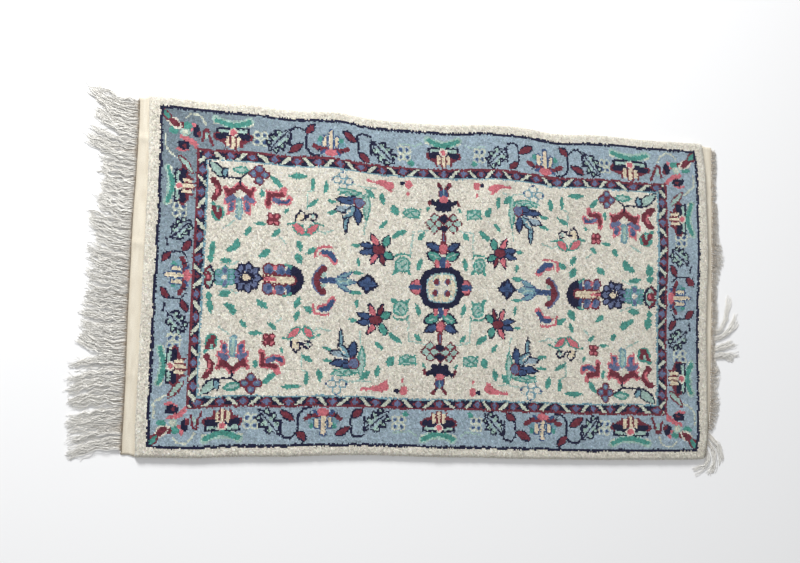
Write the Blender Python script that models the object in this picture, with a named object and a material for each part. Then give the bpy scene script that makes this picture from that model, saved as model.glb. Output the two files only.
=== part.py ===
"""A small oriental rug lying flat: a knotted body with woven ends, and a cotton fringe at each end.

Metres, +Z up. The origin is at the middle of the rug, on its underside. +X runs along the rug's
length and +Y across it, so the long fringe is at -X and the short, trodden fringe at +X.
"""
import math

import bmesh
import bpy
import numpy as np

# Driving sizes
PILE_TOP = 0.012          # underside to the tips of the pile
WEB_TOP = 0.003           # thickness of the flat-woven ends
PARTING = 0.0003          # air between the woven end and the strip that holds a fringe
STRIP_WIDTH = 0.0035
STRIP_TOP = 0.0026
PILE_SWELL = 0.0005       # the trodden pile is this much higher and lower from place to place
MOUNT_CLEAR = 0.030       # half side of the square round the origin where nothing lifts

# How the pile's edge rounds over, seen across a long side. Each row is a line of the surface.
# inset from the edge, share of the pile's height there, inset of the underside below it
EDGE_SECTION = (
    (0.0000, 0.42, 0.0025),
    (0.0015, 0.80, 0.0040),
    (0.0050, 0.96, 0.0065),
    (0.0120, 1.00, 0.0120),
)
# How the pile rises from the woven end: inset from the pile's foot, share of the rise
END_SECTION = ((0.0000, 0.00), (0.0008, 0.62), (0.0035, 0.92), (0.0100, 1.00))
FIELD_COLUMNS = 36
FIELD_ROWS = 16

# The long sides wander a little: place along the rug, far side (+Y), near side (-Y)
LONG_SIDES = (
    (-0.617, 0.3776, -0.3805),
    (-0.530, 0.3754, -0.3819),
    (-0.444, 0.3769, -0.3783),
    (-0.350, 0.3733, -0.3783),
    (-0.264, 0.3783, -0.3754),
    (-0.177, 0.3700, -0.3740),
    (-0.090, 0.3697, -0.3762),
    (0.004, 0.3726, -0.3783),
    (0.090, 0.3805, -0.3790),
    (0.177, 0.3819, -0.3812),
    (0.264, 0.3740, -0.3819),
    (0.350, 0.3791, -0.3827),
    (0.530, 0.3791, -0.3827),
    (0.617, 0.3819, -0.3820),
    (0.655, 0.3815, -0.3805),
)
# The short ends: place across the rug, left woven end, left foot of the pile,
# right foot of the pile, right woven end
SHORT_ENDS = (
    (-0.381, -0.6805, -0.6520, 0.6500, 0.6545),
    (-0.350, -0.6815, -0.6540, 0.6562, 0.6610),
    (-0.310, -0.6812, -0.6548, 0.6592, 0.6660),
    (-0.260, -0.6812, -0.6548, 0.6584, 0.6708),
    (-0.200, -0.6815, -0.6550, 0.6588, 0.6722),
    (-0.100, -0.6835, -0.6552, 0.6580, 0.6765),
    (0.000, -0.6835, -0.6552, 0.6600, 0.6780),
    (0.110, -0.6838, -0.6550, 0.6645, 0.6785),
    (0.220, -0.6815, -0.6555, 0.6615, 0.6808),
    (0.330, -0.6812, -0.6585, 0.6566, 0.6800),
    (0.381, -0.6822, -0.6600, 0.6490, 0.6800),
)
WEB_NARROWER = 0.005      # the woven ends are drawn in by this much at each long side
WEB_NARROW_RUN = 0.020    # and widen to the rug's full width over this length

# Soft ripples in the laid rug: middle, turn from +Y towards -X, half length, half width, height
RIPPLES = (
    (0.112, 0.222, -26.0, 0.170, 0.045, 0.0040),
    (-0.003, -0.325, -7.0, 0.075, 0.040, 0.0032),
    (0.330, 0.300, -20.0, 0.090, 0.045, 0.0020),
)

# Long fringe, from the far corner to the near one. Each lock is a fan of strands:
# strands, roots from, roots to (along the end), tips from, tips to, how far out the tips lie, sway
LONG_LOCKS = (
    (6, 0.367, 0.322, 0.392, 0.366, 0.0990, -0.004),
    (5, 0.322, 0.285, 0.352, 0.322, 0.0880, -0.003),
    (6, 0.285, 0.240, 0.309, 0.264, 0.0990, -0.003),
    (6, 0.240, 0.193, 0.247, 0.209, 0.0740, -0.002),
    (5, 0.193, 0.153, 0.202, 0.172, 0.0660, -0.002),
    (6, 0.153, 0.110, 0.165, 0.134, 0.0740, -0.002),
    (6, 0.110, 0.068, 0.127, 0.092, 0.0860, -0.002),
    (5, 0.068, 0.031, 0.082, 0.056, 0.0740, -0.001),
    (5, 0.031, -0.007, 0.047, 0.013, 0.0890, 0.001),
    (5, -0.007, -0.045, 0.005, -0.033, 0.0880, 0.001),
    (6, -0.045, -0.090, -0.040, -0.079, 0.0920, 0.000),
    (6, -0.090, -0.132, -0.087, -0.114, 0.0900, -0.003),
    (6, -0.132, -0.174, -0.120, -0.149, 0.0980, -0.005),
    (3, -0.174, -0.196, -0.190, -0.205, 0.1070, 0.001),
    (6, -0.196, -0.241, -0.216, -0.255, 0.1120, 0.002),
    (5, -0.241, -0.278, -0.262, -0.284, 0.1090, 0.003),
    (6, -0.278, -0.322, -0.297, -0.338, 0.1150, 0.002),
    (6, -0.322, -0.367, -0.345, -0.388, 0.1060, 0.004),
)
LONG_STRAND_WIDTH = 0.0048
LONG_STRAND_STEPS = 4
LONG_LEAD = 0.42          # how far along its length a strand still points straight out

# Short fringe: place along the end, how far the tips reach past it, lean of the tips across the rug
SHORT_REACH = (
    (-0.318, 0.008, -0.003),
    (-0.300, 0.016, -0.004),
    (-0.270, 0.025, -0.003),
    (-0.245, 0.027, -0.002),
    (-0.217, 0.022, 0.002),
    (-0.176, 0.026, 0.003),
    (-0.150, 0.014, -0.001),
    (-0.104, 0.010, -0.002),
    (-0.043, 0.018, 0.003),
    (-0.010, 0.015, 0.002),
    (0.050, 0.020, -0.003),
    (0.104, 0.035, -0.005),
    (0.163, 0.020, -0.003),
    (0.193, 0.018, -0.002),
    (0.266, 0.012, 0.001),
    (0.355, 0.014, 0.000),
    (0.376, 0.009, 0.001),
)
SHORT_STRANDS = 72
SHORT_FROM = 0.369
SHORT_TO = -0.308
SHORT_STRAND_WIDTH = 0.0056
SHORT_STRAND_STEPS = 2

# Locks that escape from the short fringe. Each is a fan through a first and a last strand:
# strands, roots from, roots to, way point first and last strand, tip first and last strand
LOOSE_LOCKS = (
    (3, -0.072, -0.083, (0.7030, -0.0600), (0.7085, -0.0680), (0.7205, 0.0150), (0.7345, 0.0050)),
    (4, -0.089, -0.104, (0.7125, -0.0750), (0.7160, -0.0870), (0.7440, -0.0280), (0.7560, -0.0600)),
    (4, -0.112, -0.127, (0.7010, -0.1080), (0.7060, -0.1200), (0.7275, -0.0925), (0.7525, -0.1100)),
    (4, -0.132, -0.147, (0.7080, -0.1275), (0.7040, -0.1405), (0.7555, -0.1280), (0.7330, -0.1520)),
    (3, -0.318, -0.329, (0.6945, -0.3480), (0.6885, -0.3590), (0.7070, -0.3780), (0.6960, -0.4000)),
    (3, -0.334, -0.345, (0.6835, -0.3680), (0.6765, -0.3800), (0.6830, -0.4160), (0.6590, -0.4225)),
    (2, -0.354, -0.371, (0.6665, -0.3900), (0.6565, -0.3900), (0.6290, -0.4260), (0.6200, -0.4010)),
)
LOOSE_STRAND_WIDTH = 0.0028
LOOSE_STRAND_STEPS = 5
STRIP_FAR = 0.3725        # where both strips stop, short of the rug's corners
STRIP_NEAR = -0.3735

STRAND_TOP_SHARE = 0.55   # a strand's top is this share of its foot's width
STRAND_TIP_WIDTH = 0.60   # width and height at the tip, as shares of the strand's own
STRAND_TIP_HEIGHT = 0.50
STRAND_TOP = 0.0021
RAGGED = 0.12             # how unevenly the fringes are cut, as a share of a strand's length
GOLDEN = 0.6180339887     # spreads the uneven lengths without a pattern

# Colours seen in daylight
WOOL_IVORY = (0.62, 0.59, 0.50, 1.0)
COTTON_WHITE = (0.74, 0.71, 0.63, 1.0)
COTTON_SHADED = (0.58, 0.53, 0.44, 1.0)
WOOL_ROUGHNESS = 0.95
COTTON_ROUGHNESS = 0.85


def smooth_read(table, column, place):
    """Read a column of a table at a place, on a curve that passes through every row."""
    rows = sorted(table)
    places = [row[0] for row in rows]
    values = [row[column] for row in rows]
    slopes = np.gradient(values, places)
    place = min(max(place, places[0]), places[-1])
    span = min(max(int(np.searchsorted(places, place)) - 1, 0), len(places) - 2)
    run = places[span + 1] - places[span]
    t = (place - places[span]) / run
    start, end = values[span], values[span + 1]
    rise, fall = slopes[span] * run, slopes[span + 1] * run
    return ((2 * t**3 - 3 * t**2 + 1) * start + (t**3 - 2 * t**2 + t) * rise
            + (3 * t**2 - 2 * t**3) * end + (t**3 - t**2) * fall)


def lift(x, y):
    """Height of the laid rug's underside above the floor: nothing but where a soft ripple stands."""
    if abs(x) < MOUNT_CLEAR and abs(y) < MOUNT_CLEAR:
        return 0.0
    height = 0.0
    for mid_x, mid_y, turn, half_length, half_width, top in RIPPLES:
        angle = math.radians(turn)
        along = -(x - mid_x) * math.sin(angle) + (y - mid_y) * math.cos(angle)
        across = (x - mid_x) * math.cos(angle) + (y - mid_y) * math.sin(angle)
        if abs(along) < half_length and abs(across) < half_width:
            fade = math.cos(math.pi / 2 * along / half_length) ** 2
            height += top * fade * math.cos(math.pi / 2 * across / half_width) ** 2
    return height


def swell(x, y):
    """Slow unevenness of the trodden pile."""
    return PILE_SWELL * (math.sin(9.0 * x + 4.0 * y + 0.6) + math.sin(5.0 * x - 11.0 * y)) / 2


def body_columns():
    """Nominal x of every column, and how it follows the ends: end, blend to the pile's foot, inset."""
    columns = []
    for blend in (0.0, 0.5):
        columns.append(("left", blend, 0.0, 0.0))
    for inset, share in END_SECTION:
        columns.append(("left", 1.0, inset, share))
    for step in range(1, FIELD_COLUMNS):
        columns.append(("field", step / FIELD_COLUMNS, 0.0, 1.0))
    for inset, share in reversed(END_SECTION):
        columns.append(("right", 1.0, inset, share))
    for blend in (0.5, 0.0):
        columns.append(("right", blend, 0.0, 0.0))
    return columns


def column_place(column, y):
    """x of a column where it passes y."""
    kind, part, inset, _ = column
    web_left, foot_left, foot_right, web_right = (smooth_read(SHORT_ENDS, n, y) for n in (1, 2, 3, 4))
    if kind == "left":
        return web_left + (foot_left - web_left) * part + inset
    if kind == "right":
        return web_right + (foot_right - web_right) * part - inset
    first, last = foot_left + END_SECTION[-1][0], foot_right - END_SECTION[-1][0]
    return first + (last - first) * part


def side_place(x, side):
    """y of a long side at x, drawn in along the woven ends. side is 1 far, -1 near."""
    y = smooth_read(LONG_SIDES, 1 if side > 0 else 2, x)
    foot_left, foot_right = (smooth_read(SHORT_ENDS, n, y) for n in (2, 3))
    past = max(foot_left + WEB_NARROW_RUN * 0.2 - x, x - foot_right + WEB_NARROW_RUN * 0.2, 0.0)
    share = min(past / WEB_NARROW_RUN, 1.0)
    return y - side * WEB_NARROWER * share * share * (3 - 2 * share)


def body_rows():
    """Rows from the near side to the far one: side, part across, inset, height share, lower inset."""
    rows = [(-1, 0.0) + section for section in EDGE_SECTION]
    rows += [(0, step / FIELD_ROWS, 0.0, 1.0, 0.0) for step in range(1, FIELD_ROWS)]
    rows += [(1, 1.0) + section for section in reversed(EDGE_SECTION)]
    return rows


def row_place(row, x, under):
    """y of a row where it passes x, on the top or on the underside."""
    side, part, inset, _, under_inset = row
    near, far = side_place(x, -1), side_place(x, 1)
    step_in = under_inset if under else inset
    if side < 0:
        return near + step_in
    if side > 0:
        return far - step_in
    first, last = near + EDGE_SECTION[-1][0], far - EDGE_SECTION[-1][0]
    return first + (last - first) * part


def rug_body_mesh():
    """One closed slab: a grid of the top and a grid of the underside, joined round the rim."""
    columns, rows = body_columns(), body_rows()
    mesh = bmesh.new()
    grids = {}
    for under in (False, True):
        grid = []
        for row in rows:
            nominal_y = row_place(row, 0.0, under)
            line = []
            for column in columns:
                x = column_place(column, nominal_y)
                y = row_place(row, x, under)
                z = lift(x, y)
                if not under:
                    top = WEB_TOP + (PILE_TOP - WEB_TOP) * column[3] + swell(x, y) * column[3]
                    z += top * row[3]
                line.append(mesh.verts.new((x, y, z)))
            grid.append(line)
        grids[under] = grid
    for under, grid in grids.items():
        for low, high in zip(grid, grid[1:]):
            for n in range(len(low) - 1):
                face = (low[n], low[n + 1], high[n + 1], high[n])
                mesh.faces.new(tuple(reversed(face)) if under else face)
    top_rim, under_rim = rim(grids[False]), rim(grids[True])
    for n in range(len(top_rim)):
        after = (n + 1) % len(top_rim)
        mesh.faces.new((top_rim[n], under_rim[n], under_rim[after], top_rim[after]))
    bmesh.ops.recalc_face_normals(mesh, faces=mesh.faces)
    return mesh


def rim(grid):
    """The border of a grid of points, once round."""
    near, far = grid[0], grid[-1]
    right = [line[-1] for line in grid[1:-1]]
    left = [line[0] for line in grid[1:-1]]
    return near + right + far[::-1] + left[::-1]


def uneven_cut(n):
    """The share of its lock's length that strand n is cut to."""
    return 1.0 - RAGGED * ((n * GOLDEN) % 1.0)


def curve_through(start, way, tip, share):
    """Point and heading on the parabola from start to tip that passes the way point half way."""
    control = 2 * way - (start + tip) / 2
    point = (1 - share) ** 2 * start + 2 * share * (1 - share) * control + share**2 * tip
    heading = 2 * (1 - share) * (control - start) + 2 * share * (tip - control)
    return point, heading / np.linalg.norm(heading)


def between(first, last, count, n):
    """The value of number n of count, spread evenly from first to last."""
    part = 0.5 if count == 1 else n / (count - 1)
    return np.asarray(first) + (np.asarray(last) - np.asarray(first)) * part


def strip_wall(side, y, outer):
    """Plan point of a fringe's strip at y, on its inner or its outer wall. side is -1 left, 1 right."""
    web_end = smooth_read(SHORT_ENDS, 1 if side < 0 else 4, y)
    return np.array([web_end + side * (PARTING + (STRIP_WIDTH if outer else 0.0)), y])


def long_strands():
    """Every strand of the long fringe, far corner first: root, way point, tip, cut, width, steps."""
    strands = []
    for count, root_from, root_to, tip_from, tip_to, reach, sway in LONG_LOCKS:
        pitch = (root_to - root_from) / count
        for n in range(count):
            root = strip_wall(-1, root_from + pitch * (n + 0.5), True)
            tip = np.array([root[0] - reach, between(tip_from, tip_to, count, n)])
            way = root + (tip - root) * 0.5
            way[1] = root[1] + (tip[1] - root[1]) * (0.5 - 0.5 * LONG_LEAD) + sway
            cut = uneven_cut(len(strands))
            strands.append((root, way, tip, cut, LONG_STRAND_WIDTH, LONG_STRAND_STEPS))
    return strands


def short_strands():
    """Every strand of the short fringe, the loose locks among them, far corner first."""
    strands = []
    loose_spans = []
    for count, root_from, root_to, way_from, way_to, tip_from, tip_to in LOOSE_LOCKS:
        loose_spans.append((root_to - SHORT_STRAND_WIDTH, root_from + SHORT_STRAND_WIDTH))
        for n in range(count):
            root = strip_wall(1, float(between(root_from, root_to, count, n)), True)
            way, tip = between(way_from, way_to, count, n), between(tip_from, tip_to, count, n)
            strands.append((root, way, tip, uneven_cut(n), LOOSE_STRAND_WIDTH, LOOSE_STRAND_STEPS))
    for n in range(SHORT_STRANDS):
        y = float(between(SHORT_FROM, SHORT_TO, SHORT_STRANDS, n))
        if any(low < y < high for low, high in loose_spans):
            continue
        root = strip_wall(1, y, True)
        reach = smooth_read(SHORT_REACH, 1, y) - STRIP_WIDTH
        tip = root + np.array([reach, smooth_read(SHORT_REACH, 2, y)])
        way = root + (tip - root) * np.array([0.5, 0.2])
        strands.append((root, way, tip, uneven_cut(n), SHORT_STRAND_WIDTH, SHORT_STRAND_STEPS))
    return sorted(strands, key=lambda strand: -strand[0][1])


def strand_ring(mesh, point, heading, width, height):
    """Four points round a strand: a flat foot on the floor and a narrower top."""
    sideways = np.array([-heading[1], heading[0]]) * width / 2
    ring = []
    for side, z in ((1, 0.0), (-1, 0.0), (-1, height), (1, height)):
        share = STRAND_TOP_SHARE if z else 1.0
        ring.append(mesh.verts.new((*(point + side * share * sideways), z)))
    return ring


def add_strand(mesh, root_ring, strand):
    """Carry a four-sided strand from its root ring to its tip and close it."""
    root, way, tip, cut, width, steps = strand
    ring = root_ring
    for step in range(1, steps + 1):
        share = step / steps
        point, heading = curve_through(root, way, tip, share * cut)
        full = 1 - (1 - STRAND_TIP_WIDTH) * share**2
        height = STRAND_TOP * (1 - (1 - STRAND_TIP_HEIGHT) * share)
        following = strand_ring(mesh, point, heading, width * full, height)
        for n in range(4):
            after = (n + 1) % 4
            mesh.faces.new((ring[n], ring[after], following[after], following[n]))
        ring = following
    mesh.faces.new(ring)


def fringe_mesh(side, strands):
    """One closed comb: a narrow strip along the woven end, with the strands growing from its wall."""
    mesh = bmesh.new()
    places = [STRIP_FAR]
    for root, _, _, _, width, _ in strands:
        places += [root[1] + width / 2, root[1] - width / 2]
    places.append(STRIP_NEAR)
    rings = []
    for y in places:
        inner, outer = strip_wall(side, y, False), strip_wall(side, y, True)
        corners = ((outer, 0.0), (inner, 0.0), (inner, STRIP_TOP), (outer, STRIP_TOP))
        rings.append([mesh.verts.new((*point, z)) for point, z in corners])
    for n, (here, following) in enumerate(zip(rings, rings[1:])):
        for first in (0, 1, 2):
            mesh.faces.new((here[first], here[first + 1], following[first + 1], following[first]))
        if n % 2 == 0:
            mesh.faces.new((here[3], here[0], following[0], following[3]))
            continue
        far, near = here, following
        left, right = (near, far) if side < 0 else (far, near)
        add_strand(mesh, [left[0], right[0], right[3], left[3]], strands[n // 2])
    mesh.faces.new(rings[0])
    mesh.faces.new(rings[-1])
    bmesh.ops.recalc_face_normals(mesh, faces=mesh.faces)
    return mesh


def make_material(name, colour, roughness):
    """A plain finish for one kind of yarn."""
    material = bpy.data.materials.new(name)
    material.use_nodes = True
    shader = material.node_tree.nodes["Principled BSDF"]
    shader.inputs["Base Color"].default_value = colour
    shader.inputs["Roughness"].default_value = roughness
    shader.inputs["Metallic"].default_value = 0.0
    material.diffuse_color = colour
    return material


def add_object(name, mesh, material):
    """Put a finished mesh in the scene under its own name."""
    data = bpy.data.meshes.new(name)
    mesh.to_mesh(data)
    mesh.free()
    data.materials.append(material)
    piece = bpy.data.objects.new(name, data)
    bpy.context.scene.collection.objects.link(piece)
    return piece


def build():
    for old in list(bpy.data.objects):
        bpy.data.objects.remove(old)
    body = add_object("rug_body", rug_body_mesh(), make_material("ivory wool", WOOL_IVORY, WOOL_ROUGHNESS))
    body.data.shade_smooth()
    body.data.set_sharp_from_angle(angle=math.radians(40))
    add_object("fringe_left", fringe_mesh(-1, long_strands()),
               make_material("white cotton", COTTON_WHITE, COTTON_ROUGHNESS))
    add_object("fringe_right", fringe_mesh(1, short_strands()),
               make_material("shaded cotton", COTTON_SHADED, COTTON_ROUGHNESS))


build()
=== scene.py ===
"""A small oriental rug laid flat: knotted wool pile, cotton ground, woven ends and two fringes.

Metres, +Z up. The origin is at the middle of the rug on its underside. +X runs along the rug's
length towards the short fringe, and +Y across it towards the far side. The design is given in
knots and tied knot by knot, so every knot of the pile is a small raised tuft of one yarn.
"""
import math

import bpy
import numpy as np
from mathutils import Matrix, Vector


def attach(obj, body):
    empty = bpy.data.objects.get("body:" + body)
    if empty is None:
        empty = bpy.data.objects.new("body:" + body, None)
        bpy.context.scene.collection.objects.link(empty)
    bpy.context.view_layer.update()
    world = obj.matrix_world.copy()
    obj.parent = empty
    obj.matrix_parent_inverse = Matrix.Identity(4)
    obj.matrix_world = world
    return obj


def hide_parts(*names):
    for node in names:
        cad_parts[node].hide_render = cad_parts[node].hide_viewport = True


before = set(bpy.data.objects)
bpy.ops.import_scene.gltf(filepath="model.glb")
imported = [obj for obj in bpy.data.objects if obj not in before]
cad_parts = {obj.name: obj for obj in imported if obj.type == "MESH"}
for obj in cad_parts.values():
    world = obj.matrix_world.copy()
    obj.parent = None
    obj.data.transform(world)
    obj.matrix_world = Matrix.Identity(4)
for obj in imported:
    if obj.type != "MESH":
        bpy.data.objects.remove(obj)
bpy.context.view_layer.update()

# Driving sizes of the rug
PILE_TOP = 0.012
WEB_TOP = 0.003           # thickness of the flat-woven ends
PILE_SWELL = 0.0005       # the trodden pile is this much higher and lower from place to place
MOUNT_CLEAR = 0.030       # half side of the square round the origin where nothing lifts
KNOT_PITCH = 0.00278
ROWS_OF_KNOTS = 267       # across the rug, between the rounded edges
COLUMNS_OF_KNOTS = 465    # along the rug, between the rounded ends

# How the pile rounds over at the sides: inset from the edge, share of the pile's height
SIDE_SECTION = (
    (0.0028, 0.02),
    (0.0008, 0.17),
    (0.0000, 0.42),
    (0.0005, 0.66),
    (0.0018, 0.84),
    (0.0044, 0.945),
    (0.0073, 0.985),
    (0.0102, 1.0),
)
# How it rises from the woven ends: inset from the pile's foot, share of the rise
END_SECTION = (
    (0.0010, 0.00),
    (0.0000, 0.33),
    (0.0006, 0.66),
    (0.0022, 0.86),
    (0.0048, 0.95),
    (0.0076, 0.99),
    (0.0104, 1.0),
)
KNOT_CROWN = 0.00095      # the middle of a knot stands this far above the cloth's mean surface
KNOT_VALLEY = 0.00080     # and the gaps between knots lie this far below it
KNOT_UNEVEN = 0.00050     # spread of the knots' heights
KNOT_LEAN = 0.00060       # how far a knot's tip leans to one side
PAINTED_SHADE_IN_GAPS = 0.56          # painted shade: the wool's colour down in the gaps, as a share
PAINTED_HIGHLIGHT_AT_TIPS = 1.10        # painted highlight: the same share at the tips
PILE_STRIPS = ("near_border", "near_field", "far_field", "far_border")

# The cotton ground
WEB_RIBS = 34             # half ribs of the flat weave in each woven end
RIB_HEIGHT = 0.00035
GROUND_THICKNESS = 0.0017
FLOOR_CLEAR = 0.0001      # everything stays this far above the floor
WEB_UNDER_PILE = 0.004    # the flat weave runs on under the pile by this much
GROUND_INSET = 0.0029     # the ground stops this far inside the overcast sides

# The long sides wander a little: place along the rug, far side (+Y), near side (-Y)
LONG_SIDES = (
    (-0.617, 0.3776, -0.3805),
    (-0.530, 0.3754, -0.3819),
    (-0.444, 0.3769, -0.3783),
    (-0.350, 0.3733, -0.3783),
    (-0.264, 0.3783, -0.3754),
    (-0.177, 0.3700, -0.3740),
    (-0.090, 0.3697, -0.3762),
    (0.004, 0.3726, -0.3783),
    (0.090, 0.3805, -0.3790),
    (0.177, 0.3819, -0.3812),
    (0.264, 0.3740, -0.3819),
    (0.350, 0.3791, -0.3827),
    (0.530, 0.3791, -0.3827),
    (0.617, 0.3819, -0.3820),
    (0.655, 0.3815, -0.3805),
)
# The short ends: place across the rug, left woven end, left foot of the pile,
# right foot of the pile, right woven end
SHORT_ENDS = (
    (-0.381, -0.6805, -0.6520, 0.6500, 0.6545),
    (-0.350, -0.6815, -0.6540, 0.6562, 0.6610),
    (-0.310, -0.6812, -0.6548, 0.6592, 0.6660),
    (-0.260, -0.6812, -0.6548, 0.6584, 0.6708),
    (-0.200, -0.6815, -0.6550, 0.6588, 0.6722),
    (-0.100, -0.6835, -0.6552, 0.6580, 0.6765),
    (0.000, -0.6835, -0.6552, 0.6600, 0.6780),
    (0.110, -0.6838, -0.6550, 0.6645, 0.6785),
    (0.220, -0.6815, -0.6555, 0.6615, 0.6808),
    (0.330, -0.6812, -0.6585, 0.6566, 0.6800),
    (0.381, -0.6822, -0.6600, 0.6490, 0.6800),
)
WEB_NARROWER = 0.005      # the woven ends are drawn in by this much at each long side
WEB_NARROW_RUN = 0.020    # and widen to the rug's full width over this length

# Soft ripples in the laid rug: middle, turn from +Y towards -X, half length, half width, height
RIPPLES = (
    (0.112, 0.222, -26.0, 0.170, 0.045, 0.0040),
    (-0.003, -0.325, -7.0, 0.075, 0.040, 0.0032),
    (0.330, 0.300, -20.0, 0.090, 0.045, 0.0020),
)
# Small cross buckles of the left woven end: place across the rug, half width, height
WEB_BUCKLES = ((0.285, 0.007, 0.0020), (0.061, 0.008, 0.0018), (-0.215, 0.010, 0.0008))

# Long fringe, from the far corner to the near one. Each lock is a fan of strands:
# bundles, roots from, roots to (along the end), tips from, tips to, how far out the tips lie, sway
LONG_LOCKS = (
    (6, 0.367, 0.322, 0.392, 0.366, 0.0990, -0.004),
    (5, 0.322, 0.285, 0.352, 0.322, 0.0880, -0.003),
    (6, 0.285, 0.240, 0.309, 0.264, 0.0990, -0.003),
    (6, 0.240, 0.193, 0.247, 0.209, 0.0740, -0.002),
    (5, 0.193, 0.153, 0.202, 0.172, 0.0660, -0.002),
    (6, 0.153, 0.110, 0.165, 0.134, 0.0740, -0.002),
    (6, 0.110, 0.068, 0.127, 0.092, 0.0860, -0.002),
    (5, 0.068, 0.031, 0.082, 0.056, 0.0740, -0.001),
    (5, 0.031, -0.007, 0.047, 0.013, 0.0890, 0.001),
    (5, -0.007, -0.045, 0.005, -0.033, 0.0880, 0.001),
    (6, -0.045, -0.090, -0.040, -0.079, 0.0920, 0.000),
    (6, -0.090, -0.132, -0.087, -0.114, 0.0900, -0.003),
    (6, -0.132, -0.174, -0.120, -0.149, 0.0980, -0.005),
    (3, -0.174, -0.196, -0.190, -0.205, 0.1070, 0.001),
    (6, -0.196, -0.241, -0.216, -0.255, 0.1120, 0.002),
    (5, -0.241, -0.278, -0.262, -0.284, 0.1090, 0.003),
    (6, -0.278, -0.322, -0.297, -0.338, 0.1150, 0.002),
    (6, -0.322, -0.367, -0.345, -0.388, 0.1060, 0.004),
)
YARNS_IN_BUNDLE = 11
ROOT_TUCK = 0.0018        # a long yarn starts this far inside the woven end
STRAY_YARNS = 40
LONG_LEAD = 0.42          # how far along its length a strand still points straight out
LONG_STEPS = 15
# Short fringe: place along the end, how far the tips reach past it, lean of the tips across the rug
SHORT_REACH = (
    (-0.318, 0.008, -0.003),
    (-0.300, 0.016, -0.004),
    (-0.270, 0.025, -0.003),
    (-0.245, 0.027, -0.002),
    (-0.217, 0.022, 0.002),
    (-0.176, 0.026, 0.003),
    (-0.150, 0.014, -0.001),
    (-0.104, 0.010, -0.002),
    (-0.043, 0.018, 0.003),
    (-0.010, 0.015, 0.002),
    (0.050, 0.020, -0.003),
    (0.104, 0.035, -0.005),
    (0.163, 0.020, -0.003),
    (0.193, 0.018, -0.002),
    (0.266, 0.012, 0.001),
    (0.355, 0.014, 0.000),
    (0.376, 0.009, 0.001),
)
SHORT_YARNS = 760
SHORT_FROM = 0.370
SHORT_TO = -0.312
SHORT_STEPS = 9
YARNS_IN_SHORT_BUNDLE = 9
SHORT_ROOT_TUCK = 0.0015
# Locks that escape from the short fringe. Each is a fan through a first and a last strand:
# bundles, roots from, roots to, way point first and last strand, tip first and last strand
LOOSE_LOCKS = (
    (3, -0.072, -0.083, (0.7030, -0.0600), (0.7085, -0.0680), (0.7205, 0.0150), (0.7345, 0.0050)),
    (4, -0.089, -0.104, (0.7125, -0.0750), (0.7160, -0.0870), (0.7440, -0.0280), (0.7560, -0.0600)),
    (4, -0.112, -0.127, (0.7010, -0.1080), (0.7060, -0.1200), (0.7275, -0.0925), (0.7525, -0.1100)),
    (4, -0.132, -0.147, (0.7080, -0.1275), (0.7040, -0.1405), (0.7555, -0.1280), (0.7330, -0.1520)),
    (3, -0.318, -0.329, (0.6945, -0.3480), (0.6885, -0.3590), (0.7070, -0.3780), (0.6960, -0.4000)),
    (3, -0.334, -0.345, (0.6835, -0.3680), (0.6765, -0.3800), (0.6830, -0.4160), (0.6590, -0.4225)),
    (2, -0.354, -0.371, (0.6665, -0.3900), (0.6565, -0.3900), (0.6290, -0.4260), (0.6200, -0.4010)),
)
LOOSE_YARNS_IN_BUNDLE = 6
LOOSE_STEPS = 14
# The ridge where a woven end turns into its fringe: side, knots' far and near ends across the rug,
# column of SHORT_ENDS, seed
END_RIDGES = {
    "left_end_knots": (-1, 0.3720, -0.3725, 1, 71),
    "right_end_knots": (1, 0.3735, -0.3690, 4, 72),
}
RIDGE_KNOTS = 150
RINGS_IN_KNOT = 5

# The camera
CAMERA_PLACE = (-0.58875, -0.19677, 1.99363)
CAMERA_TARGET = (-0.10500, 0.00633, 0.01200)
PICTURE_UP = (-0.04746, 0.99478, 0.09037)
CAMERA_LENS = 41.58       # mm, on 36 mm of film

# Finishes, colours seen in daylight from 0 to 255
WEB_COLOUR = (226, 219, 202)
# WEB_SHADE is the brown of the painted shade and grime on the woven ends
WEB_SHADE = (160, 140, 112)
COTTON_WHITE = (236, 234, 228)
# COTTON_SHADE is the brown of the painted shade, with some grime, at the fringe roots and between the end
# knots
COTTON_SHADE = (140, 122, 98)
FLOOR_COLOUR = (0.86, 0.86, 0.86, 1.0)
SKY_STRENGTH = 0.46
SKY_COLOUR = (0.97, 0.98, 1.0, 1.0)
FLOOR_REACH = 6.0
# Lamps: name, place, size, power
LAMPS = (
    ("window", (-1.6, 3.0, 2.0), 1.0, 185.0),
    ("overhead", (0.6, -0.4, 3.2), 2.4, 12.0),
)
# Yarn finishes: sheen, roughness, grain to the metre, its share, fibres to the metre, their bump
WOOL = (0.25, 0.95, 700.0, 0.14, 2400.0, 0.5)
WOVEN_COTTON = (0.10, 0.90, 900.0, 0.16, 1800.0, 0.6)
TWISTED_COTTON = (0.15, 0.85, 500.0, 0.10, 2200.0, 0.4)

# The knot chart: yarns by name, with the colour of each in daylight (as seen, 0 to 255)
YARNS = {
    "ivory": (238, 232, 217),
    "buff": (238, 222, 194),
    "steel": (166, 186, 199),
    "sky": (128, 168, 182),
    "denim": (66, 90, 132),
    "mauve": (108, 120, 156),
    "navy": (27, 30, 62),
    "maroon": (122, 52, 66),
    "pink": (216, 122, 132),
    "green": (84, 158, 146),
    "mint": (176, 206, 196),
    "celadon": (216, 222, 204),
}
YARN_NAMES = list(YARNS)
HALF_ACROSS = 136.4       # knots from the middle line of the rug to each long side
DESIGN_SHIFT = -3.0       # the medallion sits this many knots left of the rug's middle
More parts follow.
